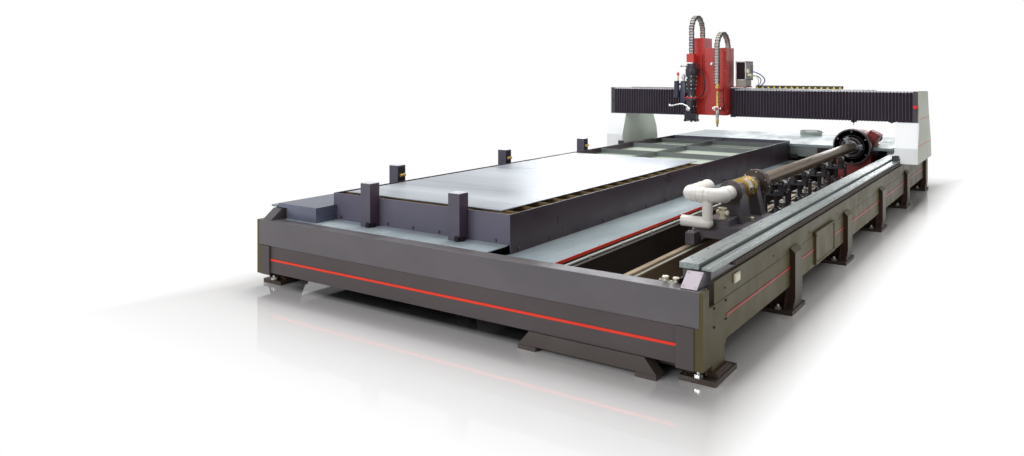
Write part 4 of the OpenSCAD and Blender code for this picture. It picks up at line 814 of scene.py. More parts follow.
mesh = bmesh.new()
turned(mesh, (tube_x, gland_low.y + 0.034, tube_z), (0, 1, 0),
       [(0, 0.060), (0.002, 0.070), (0.166, 0.070), (0.168, 0.060)], 48)
turned(mesh, (tube_x, rear_housing[1] + 0.001, tube_z), (0, 1, 0),
       [(0, 0.052), (0.001, 0.064), (0.024, 0.064), (0.026, 0.052)], 40)
for y, face in ((gland_low.y + 0.0345, 1), (gland_high.y - 0.0485, -1)):
    for a in around(8):
        bolt(mesh, round_tube(0.078, a, y), (0, face, 0), 0.009)
sleeve_steel = bare_steel("sleeve_steel", srgb(206, 206, 206), 0.2, (1, 1, 1), 0.08)
finished("gland_sleeve", mesh, sleeve_steel, "tail")

saddle_top, lid_top = 0.3915, 0.508
mesh = bmesh.new()
for housing in (front_housing, rear_housing):
    for (y, face), x in itertools.product(((housing[0], -1), (housing[1], 1)), (-0.122, 0.122)):
        bolt(mesh, (tube_x + x, y, 0.42), (0, face, 0), 0.017)
for y, side in itertools.product((-2.40, -2.30, -1.76, -1.66), (-1, 1)):
    bolt(mesh, (tube_x + side * 0.262, y, saddle_top), (0, 0, 1), 0.019)
for x, y in itertools.product((1.060, 1.234), (-2.335, -2.255, -2.175)):
    cap_screw(mesh, (x, y, lid_top), (0, 0, 1), 0.010)
finished("tail_bolts", mesh, zinc, "tail")

# Cream drain valve on the box's lid, with a ribbed handwheel.
mesh = bmesh.new()
valve = Vector((1.163, -2.290, lid_top))
turned(mesh, valve, (0, 0, 1),
       [(0, 0.030), (0.008, 0.030), (0.010, 0.022), (0.030, 0.022), (0.034, 0.027), (0.060, 0.027),
        (0.066, 0.016), (0.074, 0.016)], 24)
turned(mesh, valve + Vector((-0.050, 0, 0.046)), (1, 0, 0),
       [(0, 0.016), (0.004, 0.021), (0.018, 0.021), (0.020, 0.015), (0.080, 0.015), (0.082, 0.021),
        (0.096, 0.021), (0.100, 0.016)], 20)
wheel = valve + Vector((0, 0, 0.074))
for a in around(10):
    turned(mesh, wheel + Vector((0.026 * math.cos(a), 0.026 * math.sin(a), 0)), (0, 0, 1),
           [(0, 0.007), (0.002, 0.009), (0.010, 0.009), (0.012, 0.007)], 10)
turned(mesh, wheel, (0, 0, 1), [(0, 0.026), (0.002, 0.028), (0.009, 0.028), (0.012, 0.024)], 24)
finished("lid_valve", mesh, valve_cream, "tail")

# Air fittings on the saddle's right flank, with a blue push-in elbow.
fitting = Vector((1.300, -1.990, 0.430))
mesh = bmesh.new()
turned(mesh, fitting, (0, 1, 0),
       [(0, 0.014), (0.004, 0.018), (0.030, 0.018), (0.034, 0.012), (0.060, 0.012)], 16)
turned(mesh, fitting + Vector((0, 0.020, -0.020)), (0, 0, 1),
       [(0, 0.012), (0.050, 0.012), (0.056, 0.018), (0.070, 0.018), (0.074, 0.012)], 16)
finished("saddle_fitting", mesh, valve_cream, "tail")
mesh = bmesh.new()
turned(mesh, fitting + Vector((0, 0.060, 0)), (0, 1, 0),
       [(0, 0.012), (0.003, 0.014), (0.026, 0.014), (0.028, 0.008)], 16)
air_blue = paint("air_blue", srgb(52, 112, 176), 0.35, 0.05)
finished("saddle_elbow", mesh, air_blue, "tail")


def lead(name, route, radius, material, body):
    """A free cable or air hose between two fittings, as a piece of its own."""
    mesh = bmesh.new()
    points = hose(mesh, route, radius, 10)
    piece = finished(name, mesh, material, body)


route = [(1.300, -1.902, 0.430), (1.302, -1.85, 0.428), (1.310, -1.80, 0.405), (1.318, -1.74, 0.392),
         (1.322, -1.66, 0.388)]
lead("saddle_hose", route, 0.005, air_blue, "tail")

ring_rear = corners("tail_ring")[1].y
mesh = bmesh.new()
for a in around(6, 20):
    cap_screw(mesh, round_tube(0.104, a, ring_rear), (0, 1, 0), 0.012)
    cap_screw(mesh, round_tube(0.104, a, ring_rear - 0.090), (0, -1, 0), 0.012)
    out = Vector((math.cos(a + 0.5), 0, math.sin(a + 0.5)))
    cap_screw(mesh, Vector((tube_x, ring_rear - 0.045, tube_z)) + out * 0.1195, out, 0.012)
finished("ring_screws", mesh, zinc, "tail_ring")

# Tube supports.
# Dark welded stands that lift the tube off the pit rails on jacks, four of them alike. Each carries a
# cradle with two turned steel rollers, and gets its air by two short black hoses.
wear("support_bases", paint("support_paint", srgb(40, 38, 42), 0.38))
wear("support_cradles", paint("cradle_paint", srgb(52, 51, 56), 0.38))
ease(["support_bases", "support_cradles"], 0.0025)
roller_steel = bare_steel("roller_steel", srgb(196, 198, 200), 0.22, (1, 1, 1))
wear(["rollers_left", "rollers_right"], roller_steel)
ease(["rollers_left", "rollers_right"], 0.003)
support_ys = [-0.860 + 0.830 * i for i in range(4)]
base_plate, base_top = 0.316, corners("support_bases")[1].z
jack_x = 0.150
mesh = bmesh.new()
for y in support_ys:
    for x, dy in itertools.product((-0.262, -0.204, 0.204, 0.262), (-0.046, 0.046)):
        bolt(mesh, (tube_x + x, y + dy, base_plate), (0, 0, 1), 0.019)
    for side in (-1, 1):
        for z in (0.345, base_top - 0.020):
            cap_screw(mesh, (tube_x + side * 0.104, y - 0.030, z), (0, -1, 0), 0.013)
        turned(mesh, (tube_x + side * jack_x, y - 0.012, base_plate), (0, 0, 1),
               [(0, 0.016), (0.030, 0.016), (0.032, 0.021), (0.052, 0.021), (0.055, 0.012), (0.074, 0.012),
                (0.076, 0.008)], 18)
finished("support_bolts", mesh, zinc, "table")


def swing(start, leaving, arriving, end, count=8):
    """Points on a smooth loop between two fittings, with how far it runs straight out of each of them."""
    a, d = Vector(start), Vector(end)
    b, c = a + Vector(leaving), d + Vector(arriving)
    return [(1 - t) ** 3 * a + 3 * (1 - t) ** 2 * t * b + 3 * (1 - t) * t * t * c + t ** 3 * d
            for t in (k / count for k in range(count + 1))]


hose_black = paint("hose_black", srgb(28, 26, 30), 0.35, 0.05)
for i, (y, side) in enumerate(itertools.product(support_ys, (-1, 1))):
    start = Vector((tube_x + side * jack_x, y - 0.012, 0.335))
    route = swing(start, (0, 0, 0.12), (0, 0, 0.12), start + Vector((side * 0.064, 0.058, -0.015)))
    lead(f"support_hose_{i + 1}", route, 0.00275, hose_black, "table")
cradle_foot = corners("support_cradles")[0].z
mesh = bmesh.new()
for y in support_ys:
    for side, face in itertools.product((-1, 1), (-1, 1)):
        cap_screw(mesh, (tube_x + side * 0.030, y + face * 0.063, cradle_foot + 0.158), (0, face, 0), 0.010)
    for side in (-1, 1):
        cap_screw(mesh, (tube_x + side * 0.070, y - 0.030, cradle_foot + 0.160), (0, -1, 0), 0.012)
finished("cradle_screws", mesh, zinc, "supports")

# Gantry.
# A box beam on two legs under pale folded covers. Each cover has two thin red lines, a cable gland,
# plain blue dots on its front and socket screws along its edges.
wear("gantry_beam", paint("gantry_paint", srgb(112, 116, 116)))
wear("gantry_legs", paint("inner_leg_paint", srgb(160, 172, 158)))
cover_paint, tree, shader = blank("cover_paint", 0.32)
tint = noise_at(tree, 1.8, detail=5.0)
sides = ramp(tree, tint, 0.3, 0.7, srgb(156, 164, 144), srgb(168, 176, 156))
fronts = ramp(tree, tint, 0.3, 0.7, srgb(226, 230, 232), srgb(238, 241, 243))
pale = ramp(tree, tint, 0.3, 0.7, srgb(222, 236, 214), srgb(234, 246, 226))
facing = measured(tree, "Normal")[0]
flank = sum_of(tree, "GREATER_THAN", unsigned(tree, facing), 0.6)
place = measured(tree)
high_up = sum_of(tree, "GREATER_THAN", place[2], 1.0755)
green = sum_of(tree, "MAXIMUM", flank, high_up)
# The inner face of the far leg's cover is painted paler: painted light for the shade it stands in.
far_leg_painted_light = sum_of(tree, "MULTIPLY", sum_of(tree, "LESS_THAN", place[0], 0.0),
                 sum_of(tree, "GREATER_THAN", facing, 0.6))
body = mixed(tree, green, fronts, mixed(tree, far_leg_painted_light, sides, pale))
end_panel = sum_of(tree, "MULTIPLY", sum_of(tree, "LESS_THAN", unsigned(tree, place[0]), 2.0358), high_up)
body = mixed(tree, end_panel, body, (*srgb(62, 54, 64), 1))
coloured(tree, shader, rubbed_and_highlit_edges(tree, body, srgb(226, 230, 232), 0.3))
gloss_between(tree, shader, tint, 0.27, 0.40)
ripple(tree, shader, noise_at(tree, 240.0, detail=2.0), 0.3, 0.0005)
wear("leg_covers", cover_paint)
ease(["leg_covers"], 0.003)
wear("gantry_trucks", paint("truck_paint", srgb(44, 44, 48), 0.42))
ease(["gantry_trucks"], 0.003)
wear("travel_motors", paint("motor_paint", srgb(48, 52, 56), 0.4))
pinion_steel = bare_steel("pinion_steel", srgb(140, 134, 126), 0.35, (1, 1, 1))
wear(["pinion_left", "pinion_right", "carriage_pinion"], pinion_steel)
wear("beam_rails", bare_steel("linear_steel", srgb(172, 174, 174), 0.25, (0.03, 1, 1)))
cover_out = corners("leg_covers")[1].x
cover_front = [(0.590, 1.840), (0.775, 1.840), (1.062, 1.962), (1.457, 1.962)]
cover_back = [(0.590, 3.089), (0.837, 3.030), (1.196, 2.831), (1.440, 2.745)]


def along(edge, z):
    """How far back an edge of a leg cover is at a height; the edge is given by its corners (height, y)."""
    for (z0, y0), (z1, y1) in zip(edge, edge[1:]):
        if z <= z1:
            return y0 + (y1 - y0) * (z - z0) / (z1 - z0)
    return edge[-1][1]


red_line = paint("red_line", srgb(196, 58, 50), 0.34, 0.05, 0.1)
mesh = bmesh.new()
for side, z in itertools.product((-1, 1), (0.800, 1.116)):
    x = sorted((side * (cover_out - 0.0005), side * (cover_out + 0.0002)))
    block(mesh, (x[0], along(cover_front, z) + 0.004, z - 0.007),
          (x[1], along(cover_back, z) - 0.006, z + 0.007), 0.0002)
finished("cover_lines", mesh, red_line, "gantry")

slant = Vector((0, -0.287, 0.122)).normalized()
dot_places = ((1.845, 0.990), (1.920, 0.990), (1.995, 0.990), (1.845, 0.905), (1.935, 0.905))
mesh = bmesh.new()
for side, (x, z) in itertools.product((-1, 1), dot_places):
    turned(mesh, (side * x, along(cover_front, z) - 0.0002, z), slant,
           [(0, 0.024), (0.0007, 0.024), (0.0008, 0.0235)], 32)
finished("blue_dots", mesh, paint("dot_vinyl", srgb(92, 132, 190), 0.3, 0.05, 0.0), "gantry")

mesh = bmesh.new()
for side in (-1, 1):
    turned(mesh, (side * (cover_out - 0.0105), 2.517, 1.034), (side, 0, 0),
           [(0, 0.026), (0.004, 0.026), (0.006, 0.020), (0.010, 0.019), (0.010, 0.012), (0.001, 0.011)], 24)
finished("cable_glands", mesh, dark_plate, "gantry")
mesh = bmesh.new()
for side in (-1, 1):
    for z in (0.64, 0.76, 0.90, 1.04, 1.18, 1.32, 1.41):
        for y in (along(cover_front, z) + 0.020, along(cover_back, z) - 0.022):
            cap_screw(mesh, (side * (cover_out - 0.0066), y, z), (side, 0, 0), 0.010)
    for x, z in itertools.product((1.815, 2.020), (0.66, 0.74)):
        cap_screw(mesh, (side * x, cover_front[0][1], z), (0, -1, 0), 0.009)
finished("cover_screws", mesh, zinc, "gantry")

# Two sensors hang under the beam on bent brackets, with a thin feeler below the left one.
beam_foot = 1.100
mesh = bmesh.new()
for x, drop in ((1.312, 0.040), (1.744, 0.030)):
    tip = beam_foot - drop
    block(mesh, (x - 0.034, 2.000, tip), (x + 0.034, 2.032, beam_foot), 0.002)
    block(mesh, (x - 0.012, 1.985, tip - 0.010), (x + 0.012, 2.010, tip + 0.012), 0.002)
turned(mesh, (1.312, 1.997, 1.020), (0, 0, 1),
       [(0, 0.003), (0.036, 0.003), (0.038, 0.010), (0.050, 0.010)], 12)
finished("beam_sensors", mesh, dark_plate, "gantry")

# Stop button.
# A red plastic mushroom button in a dark collar, screwed into the gantry's right end panel and pressed
# with the palm.
wear("stop_button", paint("button_plastic", srgb(214, 34, 44), 0.22, 0.03, 0.0))
ease(["stop_button"], 0.003)

# Bellows.
# Coated fabric folded into upright pleats over the beam's rails, with a painted highlight along each
# outer fold. They are fixed to the gantry's end panels and to the frames on the carriage, and stretch between
# them.
fold_cloth, tree, shader = blank("fold_cloth", 0.42)
dust = noise_at(tree, 5.0, (1, 1, 0.3), 5.0)
coloured(tree, shader, ramp(tree, dust, 0.3, 0.7, srgb(35, 28, 37), srgb(47, 40, 50)))
ripple(tree, shader, noise_at(tree, 420.0, detail=2.0), 0.3, 0.0004)
shader.inputs["Sheen Weight"].default_value = 0.05
shader.inputs["Specular IOR Level"].default_value = 0.25
# A lighter colour along each outer fold: a painted highlight.
fold_highlight = paint("fold_highlight", srgb(86, 78, 96), 0.35, 0.08, 0.1, gloss=0.3)
fold_tip = paint("fold_tip", srgb(206, 204, 214), 0.35, 0.05, 0.1)
pleat, pleat_in = 0.038, 0.014


def pleated_cover(name):
    """One bellows: a row of pleats with rounded folds, its top and bottom closed by the folded cloth."""
    low, high = corners(name)
    count = round((high.x - low.x) / pleat)
    step = (high.x - low.x) / count
    outer_fold = [(0.00, 0.0), (0.06, 0.0003), (0.12, 0.0020)]
    inner_fold = [(0.40, pleat_in - 0.0022), (0.46, pleat_in - 0.0006), (0.50, pleat_in)]
    shape = outer_fold + inner_fold + [(1 - t, depth) for t, depth in (outer_fold[1:] + inner_fold[:2])[::-1]]
    top, back = high.z - 0.002, low.y + 0.030
    mesh = bmesh.new()
    columns = []
    for i in range(count + 1):
        for t, depth in shape if i < count else shape[:1]:
            x, y, drop = low.x + (i + t) * step, low.y + depth, 0.006 * depth / pleat_in
            outline = ((back, low.z + 0.004), (y, low.z + drop), (y, high.z - 0.017), (y, high.z - drop),
                       (back, top - drop), (high.y, top - drop), (high.y, low.z + 0.004))
            columns.append([mesh.verts.new((x, *point)) for point in outline])
    near_fold = (0, 1, 2, len(shape) - 3, len(shape) - 2, len(shape) - 1)
    on_fold = (0, len(shape) - 1)
    for k, (a, b) in enumerate(zip(columns, columns[1:])):
        place = k % len(shape)
        for j in range(7):
            face = mesh.faces.new((a[j], b[j], b[(j + 1) % 7], a[(j + 1) % 7]))
            if j in (2, 3) and place in near_fold:
                face.material_index = 2
            elif j in (0, 1) and place in on_fold:
                face.material_index = 1
    mesh.faces.new(columns[0])
    mesh.faces.new(columns[-1][::-1])
    piece = finished(name + "_folds", mesh, [fold_cloth, fold_highlight, fold_tip], None)
    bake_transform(piece)
    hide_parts(name)


pleated_cover("bellows_left")
pleated_cover("bellows_right")
wear("bellows_frames", fold_cloth)

# Energy chain on the beam.
# Plastic links lying on the beam, with a yellow plug in the side of each second one. It is dragged
# by the carriage and anchored on the beam.
chain_plastic = paint("chain_plastic", srgb(56, 52, 50), 0.42, 0.1)
plug_yellow = paint("plug_yellow", srgb(236, 208, 60), 0.35, 0.04, 0.0)
chain_low, chain_high = corners("beam_chain")
chain_long, plug_pitch = chain_high.x - chain_low.x, 0.153
count = 2 * round(2 * chain_long / plug_pitch) + 1
step = chain_long / count
wall, bar_half = 0.006, 0.006
mesh = bmesh.new()
for i in range(count):
    x = chain_low.x + i * step
    inset = 0.005 if i % 2 else 0.0
    for y in (chain_low.y + inset, chain_high.y - wall - inset):
        block(mesh, (x - (0.006 if i else 0), y, chain_low.z),
              (x + step, y + wall, chain_high.z - 0.001), 0.002)
    for part, z in itertools.product((0.25, 0.72), (chain_low.z + 0.002, chain_high.z - 0.006)):
        middle = x + step * part
        block(mesh, (middle - bar_half, chain_low.y + wall, z),
              (middle + bar_half, chain_high.y - wall, z + 0.004), 0.001)
chain = finished("beam_chain_links", mesh, chain_plastic, None)
mesh = bmesh.new()
for i in range(0, count, 2):
    plug = (chain_low.x + (i + 0.5) * step, chain_low.y + 0.001, (chain_low.z + chain_high.z) / 2)
    turned(mesh, plug, (0, -1, 0), [(0, 0.015), (0.003, 0.015), (0.005, 0.012)], 20)
plugs = finished("beam_chain_plugs", mesh, plug_yellow, None)
mesh = bmesh.new()
for k in range(4):
    y, z = chain_low.y + 0.020 + 0.016 * k, chain_low.z + 0.026 + 0.002 * (k % 2)
    hose(mesh, [(chain_low.x + chain_long * t, y, z) for t in (0.0, 0.25, 0.5, 0.75, 1.0)], 0.0065, 8)
cables = finished("beam_chain_cables", mesh, paint("cable_grey", srgb(64, 64, 70), 0.4, 0.1), None)
middle = (chain_low + chain_high) / 2
for piece in (chain, plugs, cables):
    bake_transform(piece)
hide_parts("beam_chain")

# Carriage, head columns and drive box.
# Two red sheet columns on a red carriage plate, with a slot beside the right torch and a bright knob.
# The dark drive box stands behind them in light edge strips, with plugs and cables on its right.
wear("carriage_plate", paint("carriage_paint", srgb(140, 40, 38)))
column_paint = paint("column_paint", srgb(184, 48, 44), 0.32, 0.07)
wear("head_columns", column_paint)
ease(["head_columns", "carriage_plate"], 0.003)
drive_paint, tree, shader = blank("drive_paint", 0.36)
cloud = noise_at(tree, 3.0, detail=5.0)
dark = ramp(tree, cloud, 0.3, 0.7, srgb(34, 26, 34), srgb(44, 36, 44))
pale = ramp(tree, cloud, 0.3, 0.7, srgb(140, 136, 128), srgb(160, 154, 146))
body = mixed(tree, sum_of(tree, "LESS_THAN", measured(tree)[2], 1.5698), dark, pale)
shader.inputs["Specular IOR Level"].default_value = 0.25
coloured(tree, shader, rubbed_and_highlit_edges(tree, body, srgb(120, 116, 116), 0.25))
wear("drive_box", drive_paint)
ease(["drive_box"], 0.003)
column_low, column_high = corners("head_columns")
mesh = bmesh.new()
block(mesh, (-0.545, column_low.y - 0.0006, 1.12), (-0.542, column_low.y + 0.001, 1.98), 0.0002)
finished("column_joint", mesh, dark_plate, "carriage")
left_x, right_x = column_low.x + 0.016, column_high.x - 0.016
mesh = bmesh.new()
turned(mesh, (-0.430, column_low.y, 1.789), (0, -1, 0),
       [(0, 0.020), (0.003, 0.020), (0.004, 0.012), (0.016, 0.012), (0.018, 0.017), (0.030, 0.017),
        (0.033, 0.013)], 24)
for x, z in ((left_x, 2.03), (left_x, 2.12), (right_x, 1.70), (right_x, 1.97)):
    cap_screw(mesh, (x, column_low.y, z), (0, -1, 0), 0.012)
for dy, z in (*itertools.product((0.03, 0.09), (1.16, 1.50, 1.85)), (0.20, 1.60), (0.27, 1.60)):
    cap_screw(mesh, (column_high.x, column_low.y + dy, z), (1, 0, 0), 0.012)
finished("column_screws", mesh, zinc, "carriage")

box_low, box_high = corners("drive_box")
case_z, strip, proud = 1.570, 0.013, 0.001
mesh = bmesh.new()
for y, z in itertools.product((box_low.y, box_high.y - strip), (case_z, box_high.z - strip)):
    block(mesh, (box_low.x, y - proud, z - proud),
          (box_high.x + proud, y + strip + proud, z + strip + proud), 0.001)
for x, y in itertools.product((box_low.x, box_high.x - strip), (box_low.y, box_high.y - strip)):
    block(mesh, (x - proud, y - proud, case_z), (x + strip + proud, y + strip + proud, box_high.z), 0.001)
finished("drive_edges", mesh, paint("light_strip", srgb(206, 202, 204), 0.3, 0.05), "carriage")
mesh = bmesh.new()
block(mesh, (box_high.x - 0.001, box_low.y + 0.016, case_z + 0.016),
      (box_high.x + 0.003, box_high.y - 0.016, box_high.z - 0.016), 0.001)
finished("drive_side", mesh, paint("side_grey", srgb(122, 116, 120), 0.34), "carriage")
mesh = bmesh.new()
for i in range(7):
    z = case_z + 0.10 + i * 0.016
    block(mesh, (box_high.x + 0.002, box_low.y + 0.20, z),
          (box_high.x + 0.006, box_low.y + 0.30, z + 0.006), 0.001)
finished("drive_vents", mesh, dark_plate, "carriage")
mesh = bmesh.new()
block(mesh, (box_low.x + strip, box_low.y - 0.003, case_z + strip),
      (box_high.x - strip, box_low.y + 0.001, box_high.z - strip), 0.001)
front_dark = paint("front_dark", srgb(39, 25, 34), 0.5, scuff_and_highlight=0.1, gloss=0.1)
finished("drive_front", mesh, front_dark, "carriage")

plug_blue = paint("plug_blue", srgb(60, 92, 168), 0.3, 0.06)
plug_face = Vector((box_high.x + 0.002, box_low.y, case_z))
front_plug, rear_plug = plug_face + Vector((0, 0.050, 0.070)), plug_face + Vector((0, 0.110, 0.060))
mesh = bmesh.new()
turned(mesh, front_plug, (1, 0, 0),
       [(0, 0.020), (0.010, 0.022), (0.030, 0.022), (0.036, 0.016), (0.052, 0.016)], 20)
turned(mesh, rear_plug, (1, 0, 0),
       [(0, 0.018), (0.008, 0.020), (0.026, 0.020), (0.030, 0.012), (0.044, 0.012)], 20)
block(mesh, plug_face + Vector((0, 0.010, 0.100)), plug_face + Vector((0.028, 0.060, 0.150)), 0.003)
finished("drive_plugs", mesh, valve_cream, "carriage")
chain_top = Vector((chain_low.x + 0.010, chain_low.y + 0.040, chain_high.z - 0.008))
start = rear_plug + Vector((0.048, 0, 0))
route = swing(start, (0.13, 0, 0.01), (0.09, -0.03, 0.05), chain_top)
lead("blue_cable_1", route, 0.006, plug_blue, "carriage")
route = [start + Vector(step) for step in ((0.0, -0.05, 0.05), (0.05, -0.05, 0.05), (0.13, 0.0, 0.0),
                                           (0.15, 0.06, -0.07), (0.08, 0.12, -0.13))]
lead("blue_cable_2", [*route, chain_top + Vector((0.004, 0.012, 0))], 0.007, plug_blue, "carriage")
start = front_plug + Vector((0.050, 0, 0))
route = swing(start, (0.11, 0, 0.005), (0.05, -0.05, 0.06), chain_top - Vector((0, 0.010, 0)))
lead("yellow_cable", route, 0.004, plug_yellow, "carriage")

# Plasma head.
# A dark bevel head in a red slide, with bright screws, a bright elbow, a small red cap on its stem
# and a second motor on the left. A black torch hose loops beside it, and the torch has a lever.
slide_paint, tree, shader = blank("slide_paint", 0.34)
cloud = noise_at(tree, 1.6, detail=5.0)
place = measured(tree)
arm = sum_of(tree, "MULTIPLY", sum_of(tree, "LESS_THAN", place[1], 1.7395),
             sum_of(tree, "LESS_THAN", place[2], 1.745))
red = ramp(tree, cloud, 0.3, 0.7, srgb(184, 46, 40), srgb(204, 56, 48))
dark = ramp(tree, cloud, 0.3, 0.7, srgb(34, 30, 40), srgb(44, 40, 50))
coloured(tree, shader, rubbed_and_highlit_edges(tree, mixed(tree, arm, red, dark), srgb(150, 60, 56), 0.2))
gloss_between(tree, shader, cloud, 0.28, 0.40)
ripple(tree, shader, noise_at(tree, 240.0, detail=2.0), 0.3, 0.0005)
wear("plasma_slide", slide_paint)
ease(["plasma_slide"], 0.003)
head_paint = paint("head_paint", srgb(40, 36, 46), 0.3)
wear("bevel_head", head_paint)
ease(["bevel_head"], 0.003)
torch_dark = bare_steel("torch_dark", srgb(48, 44, 54), 0.28, (1, 1, 1), 0.2, 0.5)
wear("plasma_torch", torch_dark)
head = Vector((-0.650, 1.600, 0))
head_x, head_y, tilt_z = head.x, head.y, 1.192
bright = bare_steel("bright_steel", srgb(208, 210, 212), 0.2, (1, 1, 1), 0.08)


def screw_ring(mesh, z, radius, first, size):
    """Six socket screws set into the round head at a height, looking outwards."""
    for a in around(6, first):
        out = Vector((math.cos(a), math.sin(a), 0))
        cap_screw(mesh, head + Vector((0, 0, z)) + out * radius, out, size)


mesh = bmesh.new()
for z, radius in ((1.352, 0.056), (1.460, 0.056), (1.512, 0.070), (1.558, 0.070), (1.620, 0.078)):
    screw_ring(mesh, z, radius * 0.995, -70, 0.017)
turned(mesh, head + Vector((-0.055, 0, 1.769)), (-1, 0, 0),
       [(0, 0.014), (0.010, 0.014), (0.012, 0.022), (0.034, 0.022), (0.036, 0.015), (0.074, 0.015),
        (0.076, 0.021), (0.094, 0.021), (0.096, 0.012)], 20)
turned(mesh, head + Vector((-0.105, -0.020, 1.560)), (0, 0, 1),
       [(0, 0.018), (0.030, 0.018), (0.032, 0.026), (0.070, 0.026), (0.074, 0.016), (0.094, 0.016)], 20)
finished("head_fittings", mesh, bright, "bevel")
stem = head + Vector((-0.190, 0, 1.570))
mesh = bmesh.new()
turned(mesh, stem, (0, 0, 1),
       [(0, 0.012), (0.020, 0.012), (0.022, 0.016), (0.060, 0.014), (0.070, 0.010)], 18)
block(mesh, stem + Vector((-0.016, -0.010, -0.014)), stem + Vector((0.016, 0.010, 0.002)), 0.003)
finished("cap_stem", mesh, valve_cream, "plasma_lift")
cap_red = paint("cap_red", srgb(214, 44, 36), 0.28, 0.04)
mesh = bmesh.new()
turned(mesh, stem + Vector((0, 0, 0.068)), (0, 0, 1),
       [(0, 0.018), (0.006, 0.021), (0.022, 0.017), (0.040, 0.010), (0.046, 0.004)], 20)
finished("red_cap", mesh, cap_red, "plasma_lift")
mesh = bmesh.new()
turned(mesh, head + Vector((0, 0, 1.330)), (0, 0, 1),
       [(0, 0.093), (0.003, 0.095), (0.009, 0.095), (0.012, 0.060)], 48)
finished("red_ring", mesh, cap_red, "bevel")
motor_blue = paint("motor_blue", srgb(44, 46, 72), 0.3, 0.08)
mesh = bmesh.new()
turned(mesh, head + Vector((-0.205, -0.010, 1.336)), (0, 0, 1),
       [(0, 0.022), (0.004, 0.034), (0.020, 0.036), (0.022, 0.032), (0.028, 0.032), (0.030, 0.036),
        (0.190, 0.036), (0.192, 0.032), (0.198, 0.032), (0.200, 0.036), (0.224, 0.034), (0.228, 0.020)], 32)
for z in (1.410, 1.500):
    block(mesh, head + Vector((-0.217, 0.010, z)), head + Vector((-0.193, 0.160, z + 0.030)), 0.003)
    block(mesh, head + Vector((-0.217, 0.146, z)), head + Vector((-0.040, 0.160, z + 0.030)), 0.003)
finished("second_motor", mesh, motor_blue, "plasma_lift")
mesh = bmesh.new()
block(mesh, head + Vector((-0.142, -0.036, 1.230)), head + Vector((-0.078, -0.031, 1.545)), 0.004)
finished("motor_plate", mesh, motor_blue, "bevel")
route = [(-0.640, 1.640, 1.840), (-0.600, 1.660, 1.800), (-0.560, 1.675, 1.735), (-0.515, 1.680, 1.630),
         (-0.490, 1.680, 1.507), (-0.505, 1.680, 1.412), (-0.550, 1.665, 1.352), (-0.590, 1.630, 1.330)]
lead("torch_hose", route, 0.0085, paint("rubber_black", srgb(30, 28, 32), 0.4, 0.1), "plasma_lift")

tilt = head + Vector((0, 0, tilt_z))
arm = tilt + Vector((0, -0.106, 0))
lever = [(-0.010, 0.006, 0.030), (-0.090, 0.002, 0.062), (-0.170, 0, 0.050), (-0.225, 0, 0.036),
         (-0.262, 0, 0.040)]
mesh = bmesh.new()
hose(mesh, [arm + Vector(step) for step in lever], 0.0095, 12)
turned(mesh, arm + Vector((-0.250, 0, 0.038)), (-1, 0, 0.1),
       [(0, 0.010), (0.004, 0.015), (0.022, 0.016), (0.030, 0.010)], 18)
turned(mesh, arm, (0, -1, 0), [(0, 0.026), (0.004, 0.030), (0.014, 0.030), (0.018, 0.022)], 28)
turned(mesh, tilt + Vector((0, 0.090, 0)), (0, 1, 0), [(0, 0.026), (0.004, 0.028), (0.010, 0.024)], 28)
screw_ring(mesh, 1.222, 0.060, 15, 0.012)
finished("tilt_lever", mesh, bright, "torch")
mesh = bmesh.new()
for low, high, half in ((1.044, 1.138, 0.080), (1.142, 1.172, 0.070), (1.172, 1.206, 0.062)):
    block(mesh, head + Vector((-half, -0.060, low)), head + Vector((half, 0.060, high)), 0.008)
for side in (-1, 1):
    foot = head + Vector((side * 0.072, 0, 0))
    block(mesh, foot + Vector((-0.016, -0.058, 1.018)), foot + Vector((0.016, 0.058, 1.048)), 0.004)
finished("torch_shell", mesh, torch_dark, "torch")

# Gas torch.
# A slim brass torch in a red slide, held by a bright clamp with a knob, with a pale sleeve under it
# and two thin hoses that run back to the column.
wear("oxy_slide", paint("oxy_slide_paint", srgb(178, 48, 42), 0.34, 0.06))
ease(["oxy_slide"], 0.002)
torch_brass = bare_steel("torch_brass", srgb(200, 172, 100), 0.26, (1, 1, 1), 0.12, 1.0)
wear("oxy_torch", torch_brass)
ease(["oxy_torch"], 0.0015)
gas = Vector((-0.291, head_y, 0))
mesh = bmesh.new()
block(mesh, gas + Vector((-0.046, -0.030, 1.172)), gas + Vector((0.026, 0.030, 1.224)), 0.005)
turned(mesh, gas + Vector((-0.044, 0, 1.198)), (-1, 0, 0),
       [(0, 0.010), (0.006, 0.010), (0.008, 0.020), (0.020, 0.020), (0.024, 0.014)], 18)
turned(mesh, gas + Vector((0.024, -0.008, 1.200)), (1, 0, 0),
       [(0, 0.008), (0.020, 0.008), (0.022, 0.014), (0.032, 0.014), (0.034, 0.009)], 16)
turned(mesh, gas + Vector((0, 0, 1.060)), (0, 0, 1),
       [(0, 0.0185), (0.002, 0.0205), (0.050, 0.0205), (0.054, 0.0225), (0.112, 0.0225), (0.114, 0.0185)], 28)
finished("torch_clamp", mesh, bright, "oxy_lift")
slide_low, slide_high = corners("oxy_slide")
slide_y = slide_high.y + 0.0003 - 0.026
mesh = bmesh.new()
block(mesh, (-0.264, slide_y - 0.0008, slide_low.z + 0.03),
      (-0.254, slide_y + 0.001, slide_high.z - 0.03), 0.0003)
finished("slide_slot", mesh, dark_plate, "oxy_lift")
mesh = bmesh.new()
for z, r in ((1.030, 0.0215), (1.290, 0.0215), (1.330, 0.0235), (1.470, 0.026)):
    turned(mesh, gas + Vector((0, 0, z)), (0, 0, 1),
           [(0, 0.0182), (0.001, r), (0.020, r), (0.021, 0.0182)], 6)
finished("torch_nuts", mesh, torch_brass, "oxy_lift")
hose_dark = paint("hose_dark", srgb(34, 34, 42), 0.36, 0.08)
